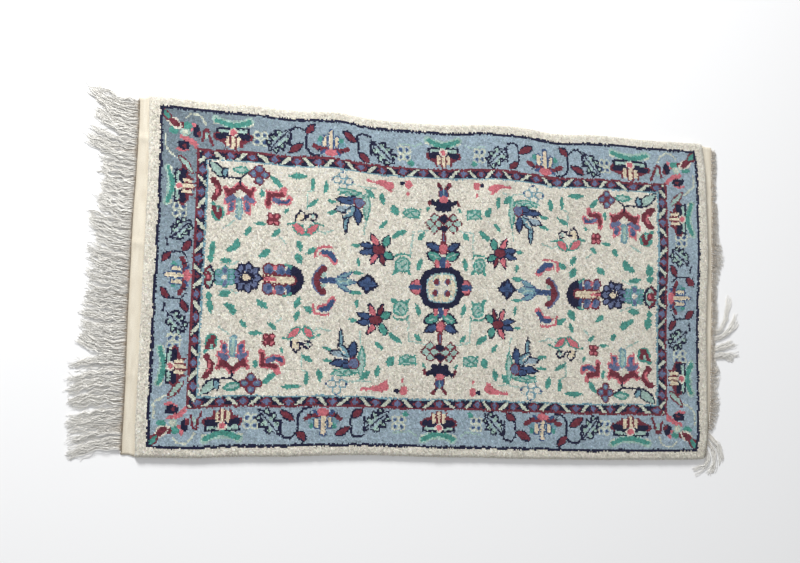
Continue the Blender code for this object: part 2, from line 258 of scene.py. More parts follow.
# The right half is tied more tightly than the left one that is drawn, but not evenly:
# knots from the medallion to the right, and the same place on the drawn half
RIGHT_HALF = (
    (0.0, 0.0), (17.0, 17.0), (48.5, 53.5), (68.0, 74.5), (90.0, 94.5), (122.0, 124.5),
    (150.0, 156.0), (171.0, 173.0), (185.5, 184.5), (192.6, 189.3), (231.0, 224.0), (245.0, 238.0),
)
HALF_LEFT = 223.5         # knots from the medallion to the navy line at the left
HALF_DESIGN = 224.0       # the same on the drawn quarter
HAND_WANDER = 0.50        # how far the hand-tied outlines wander, in knots

# Widths of the bands, in knots from the medallion: across the rug, and along it
NAVY_LINE = (128.1, 130.3)
NAVY_LINE_ALONG = (222.9, 225.1)
MAROON_LINE = (98.2, 99.7)
MAROON_LINE_ALONG = (196.0, 197.4)
GUARD = (92.0, 98.2)
GUARD_ALONG = (190.0, 196.0)
PALE_LINE = (90.8, 92.0)
PALE_LINE_ALONG = (188.6, 190.0)
SHORT_STRETCH = 29.0 / 26.0   # the border is narrower on the short sides
LONG_REPEAT_END = 196.0   # the long sides' repeat stops here, and the corner spray takes over
SHORT_REPEAT_END = 96.0
CORNER_FROM = (190.0, 90.0)
GUARD_PITCH = 17.2        # from one slanting bar of the guard to the next
GUARD_MIDDLE = 2.9
GUARD_CORNER_SHIFT = 3.0  # the short sides' bars start this much further on


def read_table(table, column, places):
    """Read a column of a table at many places, on a curve that passes through every row.

    Between two rows the value is a cubic that meets both with the mean slope of their neighbours.
    """
    rows = np.array(sorted(table))
    knots, values = rows[:, 0], rows[:, column]
    slopes = np.gradient(values, knots)
    places = np.clip(places, knots[0], knots[-1])
    span = np.clip(np.searchsorted(knots, places) - 1, 0, len(knots) - 2)
    run = knots[span + 1] - knots[span]
    t = (places - knots[span]) / run
    return ((2 * t**3 - 3 * t**2 + 1) * values[span] + (t**3 - 2 * t**2 + t) * slopes[span] * run
            + (3 * t**2 - 2 * t**3) * values[span + 1] + (t**3 - t**2) * slopes[span + 1] * run)


def lift(x, y):
    """Height of the laid cloth over the floor: the sum of the ripples.

    A ripple is its height times a squared cosine of the distance along it and one across it.
    """
    height = np.zeros(np.broadcast(x, y).shape)
    for mid_x, mid_y, turn, half_length, half_width, top in RIPPLES:
        angle = math.radians(turn)
        along = -(x - mid_x) * math.sin(angle) + (y - mid_y) * math.cos(angle)
        across = (x - mid_x) * math.cos(angle) + (y - mid_y) * math.sin(angle)
        along = np.clip(along / half_length, -1.0, 1.0)
        across = np.clip(across / half_width, -1.0, 1.0)
        height += top * np.cos(np.pi / 2 * along) ** 2 * np.cos(np.pi / 2 * across) ** 2
    return np.where((np.abs(x) < MOUNT_CLEAR) & (np.abs(y) < MOUNT_CLEAR), 0.0, height)


def swell(x, y):
    """Slow unevenness of the trodden pile: two crossing sine waves."""
    return PILE_SWELL * (np.sin(9.0 * x + 4.0 * y + 0.6) + np.sin(5.0 * x - 11.0 * y)) / 2


def side_place(x, side):
    """y of a long side at x, drawn in along the woven ends. side is 1 far, -1 near."""
    y = read_table(LONG_SIDES, 1 if side > 0 else 2, x)
    foot_left, foot_right = read_table(SHORT_ENDS, 2, y), read_table(SHORT_ENDS, 3, y)
    past = np.maximum(foot_left - x, x - foot_right) + WEB_NARROW_RUN * 0.2
    share = np.clip(past / WEB_NARROW_RUN, 0.0, 1.0)
    return y - side * WEB_NARROWER * share * share * (3 - 2 * share)


def eased_noise(rows, columns, cell, seed):
    """Slow noise from -1 to 1 on a grid: random values every few cells, eased from one to the next."""
    rng = np.random.default_rng(seed)
    values = rng.uniform(-1, 1, (rows // cell + 3, columns // cell + 3))
    r, c = np.arange(rows) / cell, np.arange(columns) / cell
    ri, ci = r.astype(int), c.astype(int)
    rt, ct = (r - ri)[:, None], (c - ci)[None, :]
    rt, ct = rt * rt * (3 - 2 * rt), ct * ct * (3 - 2 * ct)
    low = values[np.ix_(ri, ci)] * (1 - ct) + values[np.ix_(ri, ci + 1)] * ct
    high = values[np.ix_(ri + 1, ci)] * (1 - ct) + values[np.ix_(ri + 1, ci + 1)] * ct
    return low * (1 - rt) + high * rt


def daylight(colour):
    """Turn colours of 0 to 255, as seen, into the amounts of light that they give back."""
    share = np.asarray(colour, float) / 255.0
    return np.where(share <= 0.04045, share / 12.92, ((share + 0.055) / 1.055) ** 2.4)


def heading(turn):
    """The unit step at an angle in degrees, turned from the first axis towards the second."""
    return np.array([math.cos(math.radians(turn)), math.sin(math.radians(turn))])


def show(name, data):
    """Put a mesh, lamp or camera in the scene as an object at the origin."""
    thing = bpy.data.objects.new(name, data)
    bpy.context.scene.collection.objects.link(thing)
    return thing


def add_piece(name, points, faces, material, corner_colours=None, corner_uv=None, smooth=True):
    """Put points and equal-sided faces in the scene as one mesh, with its yarn colours and its map."""
    mesh = bpy.data.meshes.new(name)
    sides = faces.shape[1]
    mesh.vertices.add(len(points))
    mesh.vertices.foreach_set("co", np.ascontiguousarray(points, np.float32).ravel())
    mesh.loops.add(faces.size)
    mesh.loops.foreach_set("vertex_index", faces.astype(np.int32).ravel())
    mesh.polygons.add(len(faces))
    mesh.polygons.foreach_set("loop_start", np.arange(0, faces.size, sides, dtype=np.int32))
    mesh.polygons.foreach_set("use_smooth", np.full(len(faces), smooth))
    mesh.update(calc_edges=True)
    if corner_uv is not None:
        layer = mesh.uv_layers.new(name="OFBake")
        layer.data.foreach_set("uv", np.ascontiguousarray(corner_uv, np.float32).ravel())
    if corner_colours is not None:
        layer = mesh.color_attributes.new("yarn", "FLOAT_COLOR", "CORNER")
        rgba = np.concatenate([corner_colours, np.ones((len(corner_colours), 1))], axis=1)
        layer.data.foreach_set("color", rgba.astype(np.float32).ravel())
    mesh.materials.append(material)
    return show(name, mesh)


class Chart:
    """A grid of knots that motifs are tied into. u runs along the rug and v across it."""

    def __init__(self, u, v, knots, where=None):
        self.u, self.v, self.knots = u, v, knots
        self.where = np.ones(u.shape, bool) if where is None else where

    def tie(self, inside, yarn):
        """Tie every knot inside a shape in one yarn."""
        self.knots[inside & self.where] = YARN_NAMES.index(yarn)

    def spot(self, u, v, half_u, half_v, yarn):
        """An oval: the squares of the two distances, each over its half width, add up to less than 1."""
        self.tie(((self.u - u) / half_u) ** 2 + ((self.v - v) / half_v) ** 2 < 1.0, yarn)

    def diamond(self, u, v, half_u, half_v, yarn):
        """A diamond: the two distances, each over its half width, add up to less than 1."""
        self.tie(np.abs(self.u - u) / half_u + np.abs(self.v - v) / half_v < 1.0, yarn)

    def leaf(self, root, tip, width, yarn):
        """A pointed leaf: its half width swells and shrinks as a sine from root to tip."""
        run = np.subtract(tip, root)
        length = float(np.hypot(*run))
        along = ((self.u - root[0]) * run[0] + (self.v - root[1]) * run[1]) / length**2
        aside = ((self.v - root[1]) * run[0] - (self.u - root[0]) * run[1]) / length
        swell = np.sin(np.pi * np.clip(along, 0.0, 1.0)) ** 0.75
        self.tie(np.abs(aside) < width / 2 * swell, yarn)

    def stroke(self, points, width, yarn):
        """A line through some points: every knot nearer to it than half its width."""
        near = np.zeros(self.u.shape, bool)
        for start, end in zip(points, points[1:]):
            run = np.subtract(end, start)
            along = ((self.u - start[0]) * run[0] + (self.v - start[1]) * run[1]) / float(run @ run)
            along = np.clip(along, 0.0, 1.0)
            away = np.hypot(self.u - start[0] - along * run[0], self.v - start[1] - along * run[1])
            near |= away < width / 2
        self.tie(near, yarn)

    def edged_leaf(self, root, tip, width, yarn, edge, rim=1.3):
        """A leaf with a one-knot outline in another yarn."""
        self.leaf(root, tip, width, edge)
        back = np.subtract(tip, root) * rim / float(np.hypot(*np.subtract(tip, root)))
        self.leaf(np.add(root, back * 0.6), np.subtract(tip, back * 1.3), width - 2 * rim, yarn)

    def edged_spot(self, u, v, half_u, half_v, yarn, edge, rim=1.2):
        """An oval with a one-knot outline in another yarn."""
        self.spot(u, v, half_u, half_v, edge)
        self.spot(u, v, half_u - rim, half_v - rim, yarn)


def medallion(field):
    """The eight-lobed navy ring with its lobed flower, and the buds on its four sides."""
    angle = np.arctan2(field.v, field.u)
    squareness = (np.abs(np.cos(angle)) ** 3 + np.abs(np.sin(angle)) ** 3) ** (1 / 3)
    away = np.hypot(field.u, field.v) * squareness
    scallop = 1.3 * np.abs(np.sin(4 * angle))
    field.edged_leaf((14, 0), (28.0, 0), 13.0, "pink", "maroon", 1.0)
    field.stroke([(16, 0), (26.0, 0)], 4.2, "denim")
    field.stroke([(16, 0), (18.0, 5.6)], 1.6, "navy")
    field.stroke([(0, 14), (0, 23)], 4.4, "denim")
    field.stroke([(4.3, 16.5), (4.3, 21.5)], 3.4, "pink")
    field.stroke([(6.2, 16.5), (6.4, 20.0)], 1.1, "maroon")
    field.tie(away < 16.3 + scallop, "navy")
    field.spot(12.2, 11.4, 3.4, 3.2, "navy")
    field.spot(16.6, 5.5, 2.4, 2.6, "navy")
    field.tie(away < 12.9 - scallop * 0.4, "sky")
    field.tie(away < 12.2 - scallop * 0.4, "ivory")
    for turn in (22.5, 67.5):
        middle = 7.9 * heading(turn)
        field.edged_spot(*middle, 4.9, 4.7, "buff", "mint", 0.9)
        field.stroke([middle * 0.9, middle * 1.25], 1.2, "celadon")
    field.spot(3.0, 3.0, 3.0, 3.0, "ivory")
    field.spot(4.8, 4.7, 2.6, 3.0, "mauve")
    field.spot(4.9, 4.9, 1.9, 2.5, "maroon")
    field.stroke([(0, 0), (11.8, 0)], 1.6, "ivory")
    field.stroke([(0, 0), (0, 11.8)], 1.6, "ivory")


def short_axis_flowers(field):
    """What stands above and below the medallion: leaf palmette, stem, net flower and navy palmette."""
    field.edged_leaf((0.5, 23.0), (14.4, 29.0), 9.6, "green", "navy", 1.4)
    field.stroke([(4.0, 25.0), (9.6, 27.4)], 1.3, "mint")
    field.edged_leaf((1.5, 31.0), (14.6, 36.8), 7.6, "denim", "navy", 1.4)
    field.edged_spot(0, 32.4, 4.0, 5.0, "pink", "maroon", 0.8)
    field.stroke([(0, 38.0), (0, 45.5)], 4.0, "maroon")
    field.stroke([(0, 39.5), (0, 44.5)], 1.2, "mauve")
    for u, v in ((8.4, 48.6), (11.6, 53.2), (8.0, 57.8), (4.4, 53.2)):
        field.diamond(u, v, 4.8, 4.5, "maroon")
        field.diamond(u, v, 3.4, 3.1, "mint")
    field.spot(0, 49.0, 3.6, 2.8, "navy")
    field.diamond(0, 57.0, 6.0, 4.6, "maroon")
    field.diamond(0, 57.0, 4.6, 3.5, "navy")
    field.stroke([(7.6, 68.6), (11.6, 71.6), (12.6, 68.6)], 2.6, "maroon")
    field.stroke([(5.0, 67.4), (9.6, 71.0)], 4.0, "navy")
    field.spot(0, 69.0, 8.0, 5.6, "navy")
    field.spot(4.4, 65.2, 2.9, 2.4, "navy")
    field.spot(0, 64.0, 1.5, 2.0, "navy")
    field.stroke([(1.0, 79.0), (3.0, 83.5), (5.0, 86.5)], 3.4, "maroon")
    field.stroke([(1.0, 79.0), (3.0, 83.5)], 2.0, "navy")
    field.edged_spot(0, 78.0, 4.6, 5.0, "denim", "maroon", 0.9)
    field.stroke([(0, 77.0), (0, 82.0)], 1.3, "sky")
    field.spot(0, 73.4, 3.6, 3.0, "pink")


def long_axis_flowers(field):
    """What lies along the middle of the rug on either side of the medallion."""
    field.diamond(61.5, 0, 9.6, 8.6, "navy")
    field.diamond(61.5, 0, 7.4, 6.4, "denim")
    field.spot(65.0, 4.2, 1.8, 1.8, "navy")
    field.spot(57.8, 4.0, 1.8, 1.8, "navy")
    field.edged_leaf((88.0, 1.0), (73.5, 8.5), 5.0, "sky", "denim", 0.8)
    field.edged_leaf((92.0, 0), (69.5, 0), 7.6, "sky", "denim", 0.8)
    field.stroke([(84.5, 0), (78.0, 0), (75.5, 2.6)], 1.3, "mint")
    field.stroke([(98.0, 0), (88.5, 0)], 4.8, "denim")
    field.stroke([(103.8, 0), (102.6, 4.6), (97.0, 11.0)], 4.2, "mauve")
    field.stroke([(101.8, 0), (100.4, 4.2), (96.2, 9.8)], 4.8, "maroon")
    field.spot(96.6, 4.4, 2.0, 1.8, "mint")
    field.spot(123.0, 0, 11.4, 12.2, "navy")
    field.spot(126.5, 10.8, 5.2, 2.2, "green")
    field.spot(127.5, 7.0, 5.2, 4.6, "denim")
    for u in (130.5, 139.5):
        field.edged_spot(u, 7.6, 5.0, 5.4, "mauve", "maroon", 1.3)
        field.spot(u - 0.8, 6.6, 1.5, 2.3, "denim")
        field.stroke([(u - 4.6, 11.0), (u - 4.4, 7.5)], 1.4, "ivory")
    field.spot(134.6, 9.4, 1.4, 2.4, "pink")
    field.stroke([(121.5, 0), (141.0, 0)], 8.2, "maroon")
    field.stroke([(122.0, 0), (143.5, 0)], 5.8, "buff")
    field.stroke([(134.5, 0), (145.5, 0)], 3.0, "pink")
    field.stroke([(139.0, 2.0), (145.5, 1.0)], 1.1, "maroon")
    centre = np.array([156.5, 0.0])
    for n in range(9):
        turn = heading(20 + 40 * n)
        field.edged_leaf(centre + 3.0 * turn, centre + 12.8 * turn, 7.6, "mauve", "navy", 1.5)
        field.stroke([centre + 3.5 * turn, centre + 6.0 * turn], 1.4, "navy")
    field.spot(156.5, 0, 3.4, 3.4, "navy")
    field.spot(156.5, 0, 2.6, 2.7, "buff")
    field.spot(172.9, 0, 5.4, 6.0, "sky")
    for u, v in ((172.9, 6.2), (168.4, 4.2), (177.4, 4.2), (167.6, 0.0), (178.2, 0.0)):
        field.edged_spot(u, v, 2.5, 2.5, "sky", "green", 0.7)
    field.spot(172.9, 5.2, 1.5, 2.6, "mauve")
    field.spot(172.9, 0, 2.0, 2.0, "ivory")
    field.leaf((184.6, -10.2), (184.6, 10.2), 10.4, "navy")
    field.leaf((185.0, -8.0), (185.0, 8.0), 7.0, "mint")
    field.stroke([(187.8, 2.0), (187.0, 5.6), (184.6, 8.2)], 1.6, "maroon")
    field.spot(185.0, 0, 2.6, 3.6, "maroon")
    field.spot(184.6, 0, 1.2, 1.8, "pink")


def star_flower(field):
    """The many-coloured star beside the medallion."""
    petals = (
        ((54, 28), (60.0, 15.5), 6.0, "pink"), ((53, 31), (60.5, 42.0), 6.0, "pink"),
        ((52, 27), (48.0, 15.5), 5.4, "maroon"), ((50, 28), (40.5, 21.5), 7.6, "green"),
        ((49, 31), (45.5, 42.0), 7.8, "green"), ((56, 28), (70.0, 25.0), 5.8, "denim"),
        ((56, 31), (69.5, 32.5), 5.8, "denim"),
    )
    for root, tip, width, yarn in petals:
        field.edged_leaf(root, tip, width, yarn, "navy", 1.0)
    field.edged_spot(53.5, 29.2, 5.6, 4.6, "maroon", "navy", 0.8)


def blue_palmette(field):
    """The large blue palmette in its green calyx."""
    field.edged_leaf((88.5, 74.0), (64.0, 70.5), 7.6, "mint", "green", 1.5)
    field.edged_leaf((64.6, 76.5), (64.2, 50.5), 7.0, "mint", "green", 1.5)
    field.stroke([(86.0, 70.5), (80.0, 73.5), (74.0, 71.0), (69.0, 73.5)], 1.5, "green")
    field.edged_leaf((80.5, 57.0), (81.2, 38.0), 4.6, "sky", "navy", 1.2)
    field.edged_leaf((71.8, 62.0), (70.6, 47.0), 7.8, "denim", "navy", 1.3)
    field.edged_leaf((74.0, 63.0), (90.5, 56.0), 8.4, "steel", "navy", 1.3)
    field.edged_leaf((73.0, 62.0), (83.5, 50.0), 7.4, "sky", "navy", 1.3)
    field.stroke([(77.5, 58.0), (82.0, 53.4)], 1.3, "ivory")
    field.edged_leaf((73.0, 64.5), (90.0, 66.0), 7.0, "denim", "navy", 1.3)
    field.stroke([(79.0, 62.0), (87.0, 60.8)], 1.3, "ivory")
    field.edged_spot(75.2, 67.6, 5.4, 3.0, "denim", "navy", 1.0)
    field.edged_spot(70.2, 65.6, 4.6, 4.8, "mauve", "maroon", 0.9)


def small_field_flowers(field):
    """The birds, bells, buds and rosettes that are strewn between the palmettes."""
    field.stroke([(104.0, 19.0), (103.0, 26.0), (97.5, 27.6), (91.5, 27.4)], 2.0, "pink")
    field.stroke([(100.5, 20.5), (100.0, 23.5)], 1.2, "pink")
    field.stroke([(97.0, 21.6), (92.0, 21.2), (88.4, 15.6)], 5.4, "pink")
    field.stroke([(97.6, 23.2), (92.6, 22.8), (88.8, 17.2)], 4.0, "denim")
    field.edged_leaf((123.0, 46.0), (112.2, 36.2), 7.6, "pink", "green", 1.2)
    field.edged_leaf((102.4, 46.0), (111.6, 36.2), 7.6, "pink", "green", 1.2)
    field.stroke([(126.5, 45.0), (120.5, 46.4)], 1.6, "green")
    field.stroke([(98.0, 43.6), (106.0, 46.2)], 1.6, "green")
    field.spot(116.6, 50.0, 3.4, 3.6, "buff")
    field.stroke([(120.4, 47.5), (119.8, 52.0), (116.4, 56.2), (113.2, 53.6), (113.4, 49.6), (116.0, 48.4)],
                 1.5, "navy")
    field.stroke([(112.8, 48.6), (110.8, 50.8), (110.4, 53.0)], 1.5, "navy")
    field.stroke([(110.4, 52.0), (106.6, 53.6), (104.0, 51.0), (105.4, 47.8), (108.6, 48.4)], 1.5, "navy")
    field.spot(107.2, 50.6, 1.5, 1.5, "mint")
    for side_u in (-2.4, 2.4):
        for side_v in (-2.4, 2.4):
            field.edged_spot(137.6 + side_u, 47.4 + side_v, 2.7, 2.7, "pink", "maroon", 1.3)
    field.spot(137.6, 47.4, 1.6, 1.6, "maroon")
    for step_u, step_v in ((4.6, 0), (-4.6, 0), (0, 4.6), (0, -4.6)):
        field.edged_spot(149.8 + step_u, 81.8 + step_v, 3.9, 3.7, "mauve", "maroon", 1.3)
        field.spot(149.8 + step_u, 81.8 + step_v, 1.2, 1.1, "sky")
        field.edged_spot(83.6 + step_u, 81.8 + step_v, 3.7, 3.5, "ivory", "sky", 1.0)
        field.spot(83.6 + step_u * 1.7, 81.8 + step_v * 1.7, 1.0, 1.0, "denim")
    field.spot(149.8, 81.8, 1.8, 1.8, "maroon")
    field.stroke([(142.2, 57.6), (141.6, 67.2), (131.6, 68.2), (130.4, 72.0)], 5.2, "pink")
    field.stroke([(138.2, 63.2), (133.0, 61.4), (127.0, 61.6), (126.4, 65.0)], 5.0, "pink")
    field.stroke([(142.0, 59.2), (141.6, 66.6), (131.8, 67.8)], 3.6, "maroon")
    field.stroke([(137.6, 63.4), (133.4, 61.7)], 4.0, "mauve")
    field.stroke([(133.4, 61.6), (127.4, 61.8), (126.8, 63.6)], 2.4, "denim")
    field.stroke([(184.8, 75.4), (180.2, 70.6), (180.4, 66.6), (183.6, 61.2)], 5.0, "maroon")
    field.stroke([(182.6, 71.6), (181.0, 67.6), (182.2, 64.6)], 1.7, "pink")
    field.edged_spot(180.4, 49.8, 5.0, 6.2, "green", "green", 1.0)
    field.stroke([(184.6, 57.0), (182.4, 53.6)], 2.8, "green")
    field.stroke([(183.6, 54.0), (179.6, 46.2)], 3.6, "maroon")
    field.stroke([(178.2, 53.0), (179.2, 47.0)], 2.4, "maroon")
    field.stroke([(180.9, 53.6), (180.2, 50.8)], 1.1, "mint")
    field.stroke([(45.0, 82.4), (47.8, 83.2)], 7.0, "pink")
    field.stroke([(48.0, 83.6), (54.0, 84.4)], 4.4, "pink")
    field.stroke([(54.0, 84.4), (63.5, 85.4)], 2.4, "pink")
    field.stroke([(43.6, 78.0), (46.4, 79.4)], 2.0, "pink")
    field.spot(35.2, 85.4, 2.2, 2.0, "navy")
    field.spot(29.6, 85.0, 3.3, 3.5, "pink")
    field.spot(30.4, 76.8, 1.5, 1.5, "pink")


def maroon_palmette(field):
    """The maroon and pink palmette near each corner of the field, and its stem."""
    half = Chart(np.abs(field.u - 164.3), field.v, field.knots, field.where)
    half.stroke([(0, 71.6), (3.0, 68.4), (8.2, 65.8), (8.0, 64.2)], 6.6, "pink")
    half.stroke([(8.6, 66.0), (10.8, 69.4)], 4.0, "pink")
    half.stroke([(4.2, 62.4), (9.6, 59.8)], 6.2, "pink")
    half.stroke([(5.8, 57.6), (6.4, 52.8)], 5.6, "pink")
    half.stroke([(9.0, 60.6), (11.0, 57.6)], 2.4, "pink")
    half.stroke([(8.0, 52.4), (8.6, 49.6)], 2.0, "pink")
    half.stroke([(0, 70.8), (2.6, 68.4), (7.8, 66.0), (7.4, 64.6)], 4.6, "maroon")
    half.stroke([(8.0, 66.2), (10.2, 68.4)], 2.4, "maroon")
    half.stroke([(4.4, 62.2), (9.4, 60.0)], 4.2, "mauve")
    half.stroke([(5.8, 57.0), (6.2, 53.2)], 3.4, "mauve")
    half.spot(6.6, 54.0, 1.2, 1.6, "denim")
    half.diamond(0, 64.6, 4.4, 4.4, "ivory")
    half.stroke([(0, 59.5), (0, 47.0)], 5.2, "sky")
    half.stroke([(0, 58.6), (0, 48.0)], 2.6, "mint")
    field.stroke([(164.3, 73.0), (164.3, 77.6), (176.6, 78.4), (183.0, 84.0)], 1.6, "navy")
    field.stroke([(164.3, 77.4), (158.8, 82.6)], 1.6, "navy")
    field.edged_leaf((188.0, 90.0), (174.6, 77.0), 8.6, "mint", "navy", 1.4)
    field.edged_leaf((174.6, 86.6), (176.6, 77.0), 6.0, "sky", "navy", 1.3)
    field.leaf((170.5, 84.6), (157.0, 84.0), 6.6, "green")
    field.leaf((168.0, 84.6), (159.5, 84.2), 3.4, "mint")


# The loose leaves of the field: middle u, middle v, length, width, turn in degrees from the long axis
FIELD_LEAVES = (
    (184.0, 15.0, 7.0, 4.6, 90), (183.2, 22.5, 12.0, 5.4, 80), (172.5, 13.0, 10.0, 5.0, -15),
    (169.0, 22.5, 9.0, 5.0, 30), (165.5, 25.5, 9.0, 6.0, 80), (143.5, 20.0, 11.0, 5.4, 35),
    (157.3, 36.0, 8.5, 4.2, 60), (147.8, 43.0, 10.0, 3.4, 0), (116.3, 17.5, 10.0, 5.6, -65),
    (106.8, 23.5, 10.5, 4.8, 25), (116.5, 28.0, 9.0, 4.6, -70), (135.3, 37.0, 8.5, 4.0, 40),
    (147.3, 67.0, 7.5, 3.8, 90), (136.5, 77.5, 14.0, 5.2, -42), (119.3, 83.5, 16.0, 4.4, 0),
    (107.5, 61.5, 12.0, 4.2, 35), (107.3, 77.0, 11.5, 3.4, 90), (97.3, 75.0, 11.0, 4.4, 78),
    (91.8, 63.5, 9.0, 3.2, 0), (91.5, 54.5, 9.5, 3.4, 12), (70.8, 8.5, 11.5, 3.4, 0),
    (69.3, 17.0, 8.0, 3.2, 90), (61.0, 74.0, 11.0, 5.0, -40), (51.3, 71.0, 10.0, 5.2, -80),
    (41.0, 62.0, 9.5, 6.4, -60), (37.5, 43.0, 14.5, 5.2, 32), (19.3, 19.0, 11.5, 4.4, 75),
    (19.0, 42.0, 8.5, 4.6, 50), (50.3, 50.0, 9.5, 4.2, 45),
    (72.0, 31.0, 7.0, 3.4, 0), (13.5, 64.5, 5.0, 2.6, 60), (127.5, 55.0, 5.5, 2.8, 60),
)
# Thin stems of the field
FIELD_STEMS = (
    ((38.5, 26.0), (27.0, 26.6), (26.0, 45.0), (12.5, 47.5)),
    ((111.5, 57.0), (112.0, 70.0), (106.0, 72.5)),
    ((176.5, 11.5), (169.0, 9.5), (163.0, 12.5)),
    ((90.0, 41.0), (98.0, 38.0), (103.0, 40.0)),
    ((66.0, 40.0), (64.5, 52.0)),
    ((56.0, 79.0), (66.0, 78.5), (76.0, 80.5)),
    ((128.0, 30.0), (133.0, 34.0)),
    ((176.0, 38.0), (168.0, 44.0)),
)


def field_leaves(field):
    """The strewn green leaves, the small lotus and the thin stems."""
    for stem in FIELD_STEMS:
        field.stroke(stem, 1.2, "mint")
    for u, v, length, width, turn in FIELD_LEAVES:
        half = length / 2 * heading(-turn)
        field.leaf(np.array([u, v]) - half, np.array([u, v]) + half, width, "green")
    field.edged_spot(33.5, 18.0, 6.4, 6.6, "mint", "green", 1.7)
    field.stroke([(30.0, 20.0), (33.5, 15.0), (36.5, 19.0), (33.6, 21.0)], 1.3, "green")
    field.leaf((36.5, 14.5), (41.0, 9.5), 4.0, "green")
    field.leaf((29.5, 14.5), (26.5, 10.5), 3.2, "green")
    field.stroke([(39.6, 24.4), (38.0, 26.4), (28.0, 26.6), (26.8, 24.0)], 1.6, "green")
    field.edged_spot(27.0, 60.5, 7.4, 4.6, "mint", "green", 1.3)
    field.stroke([(34.0, 57.0), (28.5, 61.0), (20.0, 64.0)], 1.6, "green")
    field.stroke([(33.0, 64.0), (27.0, 60.0), (20.5, 57.0)], 1.6, "green")


def border_palmette(border, at):
    """Cream lobes over navy wings, on a green bar: at is its place along the border."""
    border = Chart(np.abs(border.u - at), border.v, border.knots, border.where)
    border.stroke([(0.8, 8.0), (6.0, 7.6), (13.0, 4.6)], 6.2, "mint")
    border.stroke([(0.8, 9.0), (6.0, 7.8), (12.5, 5.4)], 3.8, "green")
    border.stroke([(12.0, 8.4), (14.5, 7.2)], 1.6, "celadon")
    border.spot(7.0, 13.4, 4.4, 2.4, "mint")
    border.stroke([(12.0, 14.2), (12.6, 11.6), (8.0, 11.2), (2.6, 11.2)], 1.7, "navy")
    border.stroke([(5.0, 21.0), (12.0, 17.8)], 6.4, "maroon")
    border.stroke([(3.4, 16.4), (10.8, 17.8)], 5.2, "navy")
    border.stroke([(6.3, 21.0), (6.0, 25.8)], 1.8, "maroon")
    border.stroke([(1.9, 18.5), (1.7, 26.6)], 2.0, "maroon")
    border.stroke([(4.2, 18.4), (4.0, 24.2)], 2.6, "buff")
    border.stroke([(0, 16.5), (0, 26.0)], 2.6, "buff")
    border.spot(0, 14.2, 3.6, 3.2, "ivory")
    border.spot(0, 14.4, 2.4, 2.4, "pink")


def border_lily(border, at):
    """Pink base, maroon wings and three cream petals outlined in blue."""
    border = Chart(np.abs(border.u - at), border.v, border.knots, border.where)
    border.spot(9.0, 17.6, 3.2, 3.2, "sky")
    border.spot(8.6, 13.6, 2.0, 2.2, "green")
    border.stroke([(3.0, 22.4), (8.4, 22.2), (13.6, 19.4)], 3.6, "maroon")
    border.stroke([(5.0, 23.8), (7.4, 25.2)], 2.6, "denim")
    border.stroke([(9.4, 21.6), (10.6, 24.4)], 1.3, "navy")
    for aside, low, high, width in ((5.0, 12.6, 18.6, 2.7), (0, 7.4, 20.4, 3.2)):
        border.stroke([(aside, low), (aside, high)], width + 1.6, "denim")
        border.stroke([(aside, low + 0.5), (aside, high)], width, "buff")
    border.spot(0, 24.6, 4.8, 3.2, "pink")


def border_dots(border, at, depth):
    """Four blue dots, each in a cream ring."""
    for aside in (-2.7, 2.7):
        for up in (-2.9, 2.9):
            border.edged_spot(at + aside, depth + up, 3.3, 3.3, "steel", "celadon", 1.2)
            border.spot(at + aside, depth + up, 1.35, 1.35, "denim")


def border_leaf(border, root, tip):
    """A broad pale leaf with a navy outline, a toothed edge and a vein."""
    root, tip = np.array(root, float), np.array(tip, float)
    run = (tip - root) / np.hypot(*(tip - root))
    aside = np.array([-run[1], run[0]])
    for side in (-1, 1):
        for share, reach in ((0.25, 7.6), (0.48, 8.6), (0.70, 6.6)):
            start = root + (tip - root) * share
            border.edged_leaf(start, start + side * aside * reach + run * 4.0, 6.0, "mint", "navy", 1.5)
    border.edged_leaf(root, tip, 9.0, "steel", "navy", 1.5)
    for share in (0.35, 0.55):
        for side in (-1, 1):
            middle = root + (tip - root) * share + side * aside * 2.6
            border.leaf(middle - run * 2.2, middle + run * 2.2, 2.4, "mint")
    border.stroke([root + run * 2, tip - run * 4], 1.3, "navy")


def long_border(border):
    """The repeat of the long sides: u along the rug, v inwards from the navy line."""
    border.stroke([(103, 27.6), (109, 27), (112.8, 22), (112.8, 10)], 1.8, "navy")
    border.stroke([(114, 8), (118, 4.8), (122, 4.6), (125.6, 8), (125.6, 19)], 1.8, "navy")
    border.stroke([(71.3, 20), (71.3, 14)], 1.8, "navy")
    border.stroke([(71.6, 12), (71.4, 8), (68, 4.8), (61, 6.4)], 1.8, "navy")
    border.stroke([(60.6, 21), (60.6, 9)], 1.7, "navy")
    for root, tip in (((127.5, 26), (114.5, 17.5)), ((114, 10), (105.5, 1.5)),
                      ((61.5, 27.5), (71.5, 20.5)), ((72.0, 13.5), (84.0, 5.5))):
        border.edged_leaf(root, tip, 7.0, "maroon", "navy", 1.1)
    border_palmette(border, 0.0)
    border_lily(border, 93.3)
    border_palmette(border, 170.0)
    border_dots(border, 33.3, 17.4)
    border_dots(border, 148.8, 17.4)
    border_leaf(border, (60.5, 9.0), (40.5, 27.0))
    border_leaf(border, (126.0, 6.5), (143.5, 27.0))
    border.spot(27.5, 24.6, 2.8, 2.2, "green")
    border.stroke([(38, 9), (24, 11), (19, 8)], 1.2, "mint")
    border.stroke([(193.0, 23.0), (191.6, 14.0), (189.6, 13.0), (185.6, 25.4)], 2.0, "maroon")
    border.stroke([(190.6, 21.0), (189.8, 17.0)], 2.0, "mint")


